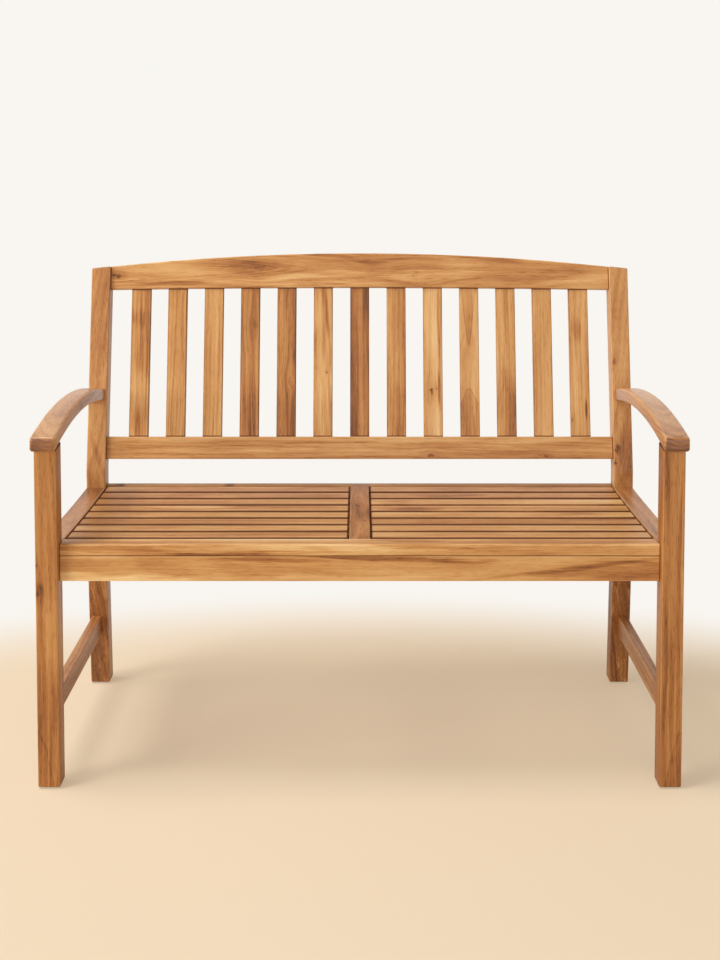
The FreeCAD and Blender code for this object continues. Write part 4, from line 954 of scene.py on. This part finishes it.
@dataclass(frozen=True)
class Seat:
    """The seat: apron, front, rear and centre rails, two bays of slats and the cleats that carry them.

    Args:
        slat_tones: the tone of each bay's slats, from the front to the rear.
        slat_top: the height of the slats' upper faces, in millimetres.
        slat_gap_shade: how much painted shade a slat's narrow sides get, standing in for the shade in the gaps
            between slats.
        bay_starts: where each bay starts, from left to right, in millimetres.
        bay_run: how far a bay's darker or paler stretches spread from there, in millimetres.
        turn: the share of that run by which each slat's stretch is moved on from the last one's.
        bay_turn: the share by which the right bay's are moved on from the left bay's.
        dark_stretch: the darkest stretch.
        dark_slat: the bay and number of the slat that has it.
    """

    front_rail: Board = Board(
        0.40, FLAT, 91.0, 0.56, 0.006, 0.016,
        # The first flame is painted shade on the rail's top face and top edge, along its whole length.
        flames=(Flame((0, -276, 455.6), 800, 2.2, 0.14), Flame((-455, -276, 446), 130, 6, 0.22, -0.03),
                Flame((-260, -276, 436), 170, 4, 0.28, 0.01), Flame((-550, -276, 443), 30, 14, 0.16),
                Flame((-37, -276, 448), 300, 10, -0.14), Flame((133, -276, 450), 90, 5, 0.16, -0.05),
                Flame((404, -276, 448), 220, 10, 0.14, -0.02)),
    )
    apron: Board = Board(
        0.49, FLAT, 93.0, 0.56, 0.010, 0.020,
        flames=(Flame((-490, -276, 392), 110, 10, -0.36), Flame((-500, -276, 430), 60, 4, -0.16),
                Flame((-300, -276, 406), 130, 14, -0.18), Flame((50, -276, 427), 200, 5, 0.42, -0.035),
                Flame((-170, -276, 426), 100, 4, 0.24, -0.04), Flame((390, -276, 409), 170, 4, 0.24, 0.115),
                Flame((480, -276, 400), 170, 22, 0.22), Flame((-130, -276, 392), 220, 6, -0.12)),
    )
    rear_rail: Board = Board(
        0.60, RIFT, 95.0, 0.50,
        flames=(Flame((-526, 191, 446), 10, 12, 0.50), Flame((-287, 191, 446), 12, 12, 0.34)),
    )
    centre_rail: Board = Board(
        0.71, FLAT, 97.0, 0.46, 0.012, 0.014,
        knots=(Knot((-5, 25, 447), 4.5, 0.9), Knot((4, -100, 447), 8, 0.30)),
    )
    cleat: Board = Board(0.60, RIFT, 99.0, 0.44)
    slat_tones: tuple[tuple[float, ...], tuple[float, ...]] = (
        (0.58, 0.50, 0.66, 0.54, 0.49, 0.60, 0.62, 0.72),
        (0.50, 0.38, 0.68, 0.38, 0.52, 0.38, 0.68, 0.64),
    )
    slat_top: float = 447
    slat_gap_shade: float = 0.58
    bay_starts: tuple[float, float] = (-540, 40)
    bay_run: float = 500
    turn: float = 0.618
    bay_turn: float = 0.37
    dark_stretch: Flame = Flame((125, 2, 447), 55, 12, 0.34)
    dark_slat: tuple[int, int] = (1, 5)

    def slat(self, bay: int, number: int) -> Board:
        """Chooses the wood of one seat slat.

        Args:
            bay: 0 for the left bay, 1 for the right.
            number: its place from the front, from 1.

        Returns:
            The slat's board, with a darker or paler stretch at a place of its own.
        """
        place = (number * self.turn + bay * self.bay_turn) % 1.0
        low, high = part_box(f"seat_slat_{SIDES[bay]}_{number}")
        across = self.bay_starts[bay] + self.bay_run * place
        depth = (low[1] + high[1]) / 2 / MM
        reach = 30 + 60 * place
        shade = 0.22 * (0.75 - place)
        flames = (Flame((across, depth, self.slat_top), reach, 20, shade),)
        if (bay, number) == self.dark_slat:
            flames += (self.dark_stretch,)
        tone = self.slat_tones[bay][number - 1]
        sawing = tuple(Sawing)[(number + bay) % len(Sawing)]
        seed = 110.0 + 10.0 * bay + number
        return Board(tone, sawing, seed, 0.50, flames=flames)

    def dress(self, joinery: Joinery) -> None:
        """Dresses the boards of the seat.

        Args:
            joinery: what dresses a board.
        """
        for node, board in (("seat_front_rail", self.front_rail), ("front_apron", self.apron),
                            ("seat_rear_rail", self.rear_rail)):
            joinery.dress(node, Lay.CROSS_RAIL, board, Joints(0.0, 0.0, seam=board is self.front_rail))
        joinery.dress("seat_centre_rail", Lay.ARM, self.centre_rail, Joints(0.0, 0.0))
        for bay, side in enumerate(SIDES):
            for number in range(1, len(self.slat_tones[bay]) + 1):
                joinery.dress(f"seat_slat_{side}_{number}", Lay.SEAT_SLAT, self.slat(bay, number),
                              Joints(0.0, 0.0, self.slat_gap_shade))
            for row in ("outer", "inner"):
                joinery.dress(f"seat_cleat_{row}_{side}", Lay.SIDE_RAIL, self.cleat)


@dataclass(frozen=True)
class Fittings:
    """What fastens the boards, and the glides under the feet."""

    steel: tuple[str, ...] = ("frame_bolts", "barrel_nuts", "seat_screws", "glide_nails")
    dowels: tuple[str, ...] = ("rail_dowels", "tenon_pins")

    def dress(self) -> None:
        """Dresses bolts, nuts, screws, nails, dowels, pins and glides."""
        steel, dowel, plastic = ZINC.material(), DOWEL_WOOD.material(), GLIDE_PLASTIC.material()
        for node in self.steel:
            put_on(node, steel)
        for node in self.dowels:
            put_on(node, dowel)
        for end in ("front", "rear"):
            for side in SIDES:
                put_on(f"foot_glide_{end}_{side}", plastic)


@dataclass(frozen=True)
class Lamp:
    """A square soft lamp that looks at the bench.

    Args:
        name: the lamp's name.
        place: where it hangs, in metres.
        size: its side, in metres.
        power: its power in watts.
        target: what it looks at, in metres.
    """

    name: str
    place: Point
    size: float
    power: float
    target: Point = (0.0, 0.0, 0.45)

    def build(self) -> None:
        """Hangs the lamp."""
        data = bpy.data.lights.new(self.name, "AREA")
        data.shape = "SQUARE"
        data.size = self.size
        data.energy = self.power
        lamp = bpy.data.objects.new(self.name, data)
        lamp.location = self.place
        aim = Vector(self.target) - Vector(self.place)
        lamp.rotation_euler = aim.to_track_quat("-Z", "Y").to_euler()
        bpy.context.scene.collection.objects.link(lamp)


@dataclass(frozen=True)
class Studio:
    """The pale floor, the soft lamps and the camera.

    Args:
        floor_colour: the floor under and before the bench.
        floor_glow: what the camera sees of the floor beside its lit colour.
        glow_share: how much of that it sees; the rest keeps the shadow.
        backdrop_colour: the white that the floor fades into, as the camera sees it.
        pool_middle: the middle of the stretch of floor that shows, in metres.
        pool: from where to where it fades into the backdrop, in metres from its middle.
        reach: how far the floor reaches each way, in metres.
        ambience: the strength of the light from all round.
        lamps: the lamps.
        camera_place: where the camera stands, in metres.
        camera_dip: how far it looks down, in degrees.
        camera_lens: its focal length in millimetres.
        camera_shift: how far its frame is shifted, in widths of the sensor.
    """

    floor_colour: Point = (0.880, 0.720, 0.520)
    floor_glow: Point = (0.965, 0.768, 0.545)
    glow_share: float = 0.42
    backdrop_colour: Point = (0.947, 0.922, 0.880)
    pool_middle: Point = (0.0, -1.70, 0.0)
    pool: tuple[float, float] = (2.04, 2.54)
    reach: float = 30.0
    ambience: float = 0.30
    lamps: tuple[Lamp, ...] = (
        Lamp("top", (-2.2, -0.5, 5.8), 2.2, 178.0),
        Lamp("left", (-6.0, -3.6, 2.7), 3.0, 230.0),
        Lamp("front", (0.6, -5.5, 1.6), 3.5, 62.0),
    )
    camera_place: Point = (0.0, -2.6943, 1.178)
    camera_dip: float = 3.35
    camera_lens: float = 50.1
    camera_shift: tuple[float, float] = (0.0003, -0.262)

    def seen(self, wiring: Wiring) -> Socket:
        """Tells rays that show the backdrop from those that carry light to the bench."""
        path = wiring.add("ShaderNodeLightPath").outputs
        direct = wiring.number("MAXIMUM", path["Is Camera Ray"], path["Is Glossy Ray"])
        return wiring.number("MAXIMUM", direct, path["Is Transmission Ray"])

    def lay_floor(self) -> None:
        """Lays one plain pale floor that fades into the white backdrop all round the bench."""
        mesh = bpy.data.meshes.new("floor")
        mesh.from_pydata([(across * self.reach, back * self.reach, 0)
                          for across, back in ((-1, -1), (1, -1), (1, 1), (-1, 1))], [], [(0, 1, 2, 3)])
        floor = bpy.data.objects.new("floor", mesh)
        bpy.context.scene.collection.objects.link(floor)
        material, wiring, shader = new_material(
            "pale_floor", Base_Color=(*self.floor_colour, 1.0), Roughness=0.9, Specular_IOR_Level=0.1)
        away = wiring.measure("DISTANCE", wiring.bench_place(), self.pool_middle)
        faded = wiring.rise(away, *self.pool)
        colour = wiring.blend(faded, self.floor_glow, self.backdrop_colour)
        glow = wiring.feed_all(wiring.add("ShaderNodeEmission"), Color=colour)
        share = wiring.weighed(self.glow_share, (1.0 - self.glow_share, faded))
        share = wiring.times(self.seen(wiring), share)
        sources = (share, shader.outputs["BSDF"], glow["Emission"])
        mixed = wiring.work_out(wiring.add("ShaderNodeMixShader"), sources, "Shader")
        wiring.feed_all(material.node_tree.nodes["Material Output"], Surface=mixed)
        mesh.materials.append(material)

    def light(self) -> None:
        """Lights the bench softly from all round and, more, from the front, the left and above."""
        world = bpy.data.worlds.new("studio")
        bpy.context.scene.world = world
        world.use_nodes = True
        wiring = Wiring(world.node_tree)
        strength = wiring.weighed(self.ambience, (1.0 - self.ambience, self.seen(wiring)))
        wiring.feed_all(world.node_tree.nodes["Background"], Color=(*self.backdrop_colour, 1.0),
                        Strength=strength)
        for lamp in self.lamps:
            lamp.build()

    def place_camera(self) -> None:
        """Stands the camera where the photograph was taken from."""
        data = bpy.data.cameras.new("camera")
        data.lens = self.camera_lens
        data.shift_x, data.shift_y = self.camera_shift
        camera = bpy.data.objects.new("camera", data)
        camera.location = self.camera_place
        camera.rotation_euler = (math.radians(90 - self.camera_dip), 0, 0)
        bpy.context.scene.collection.objects.link(camera)
        bpy.context.scene.camera = camera

    def build(self) -> None:
        """Sets up the whole studio."""
        bpy.context.scene.view_settings.view_transform = "Standard"
        self.lay_floor()
        self.light()
        self.place_camera()


def main() -> None:
    """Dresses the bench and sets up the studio."""
    logging.basicConfig(level=logging.INFO, format="%(name)s: %(message)s")
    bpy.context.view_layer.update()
    joinery = Joinery(OiledHardwood())
    SideFrames().dress(joinery)
    Back().dress(joinery)
    Seat().dress(joinery)
    Fittings().dress()
    Studio().build()


if __name__ == "__main__":
    main()
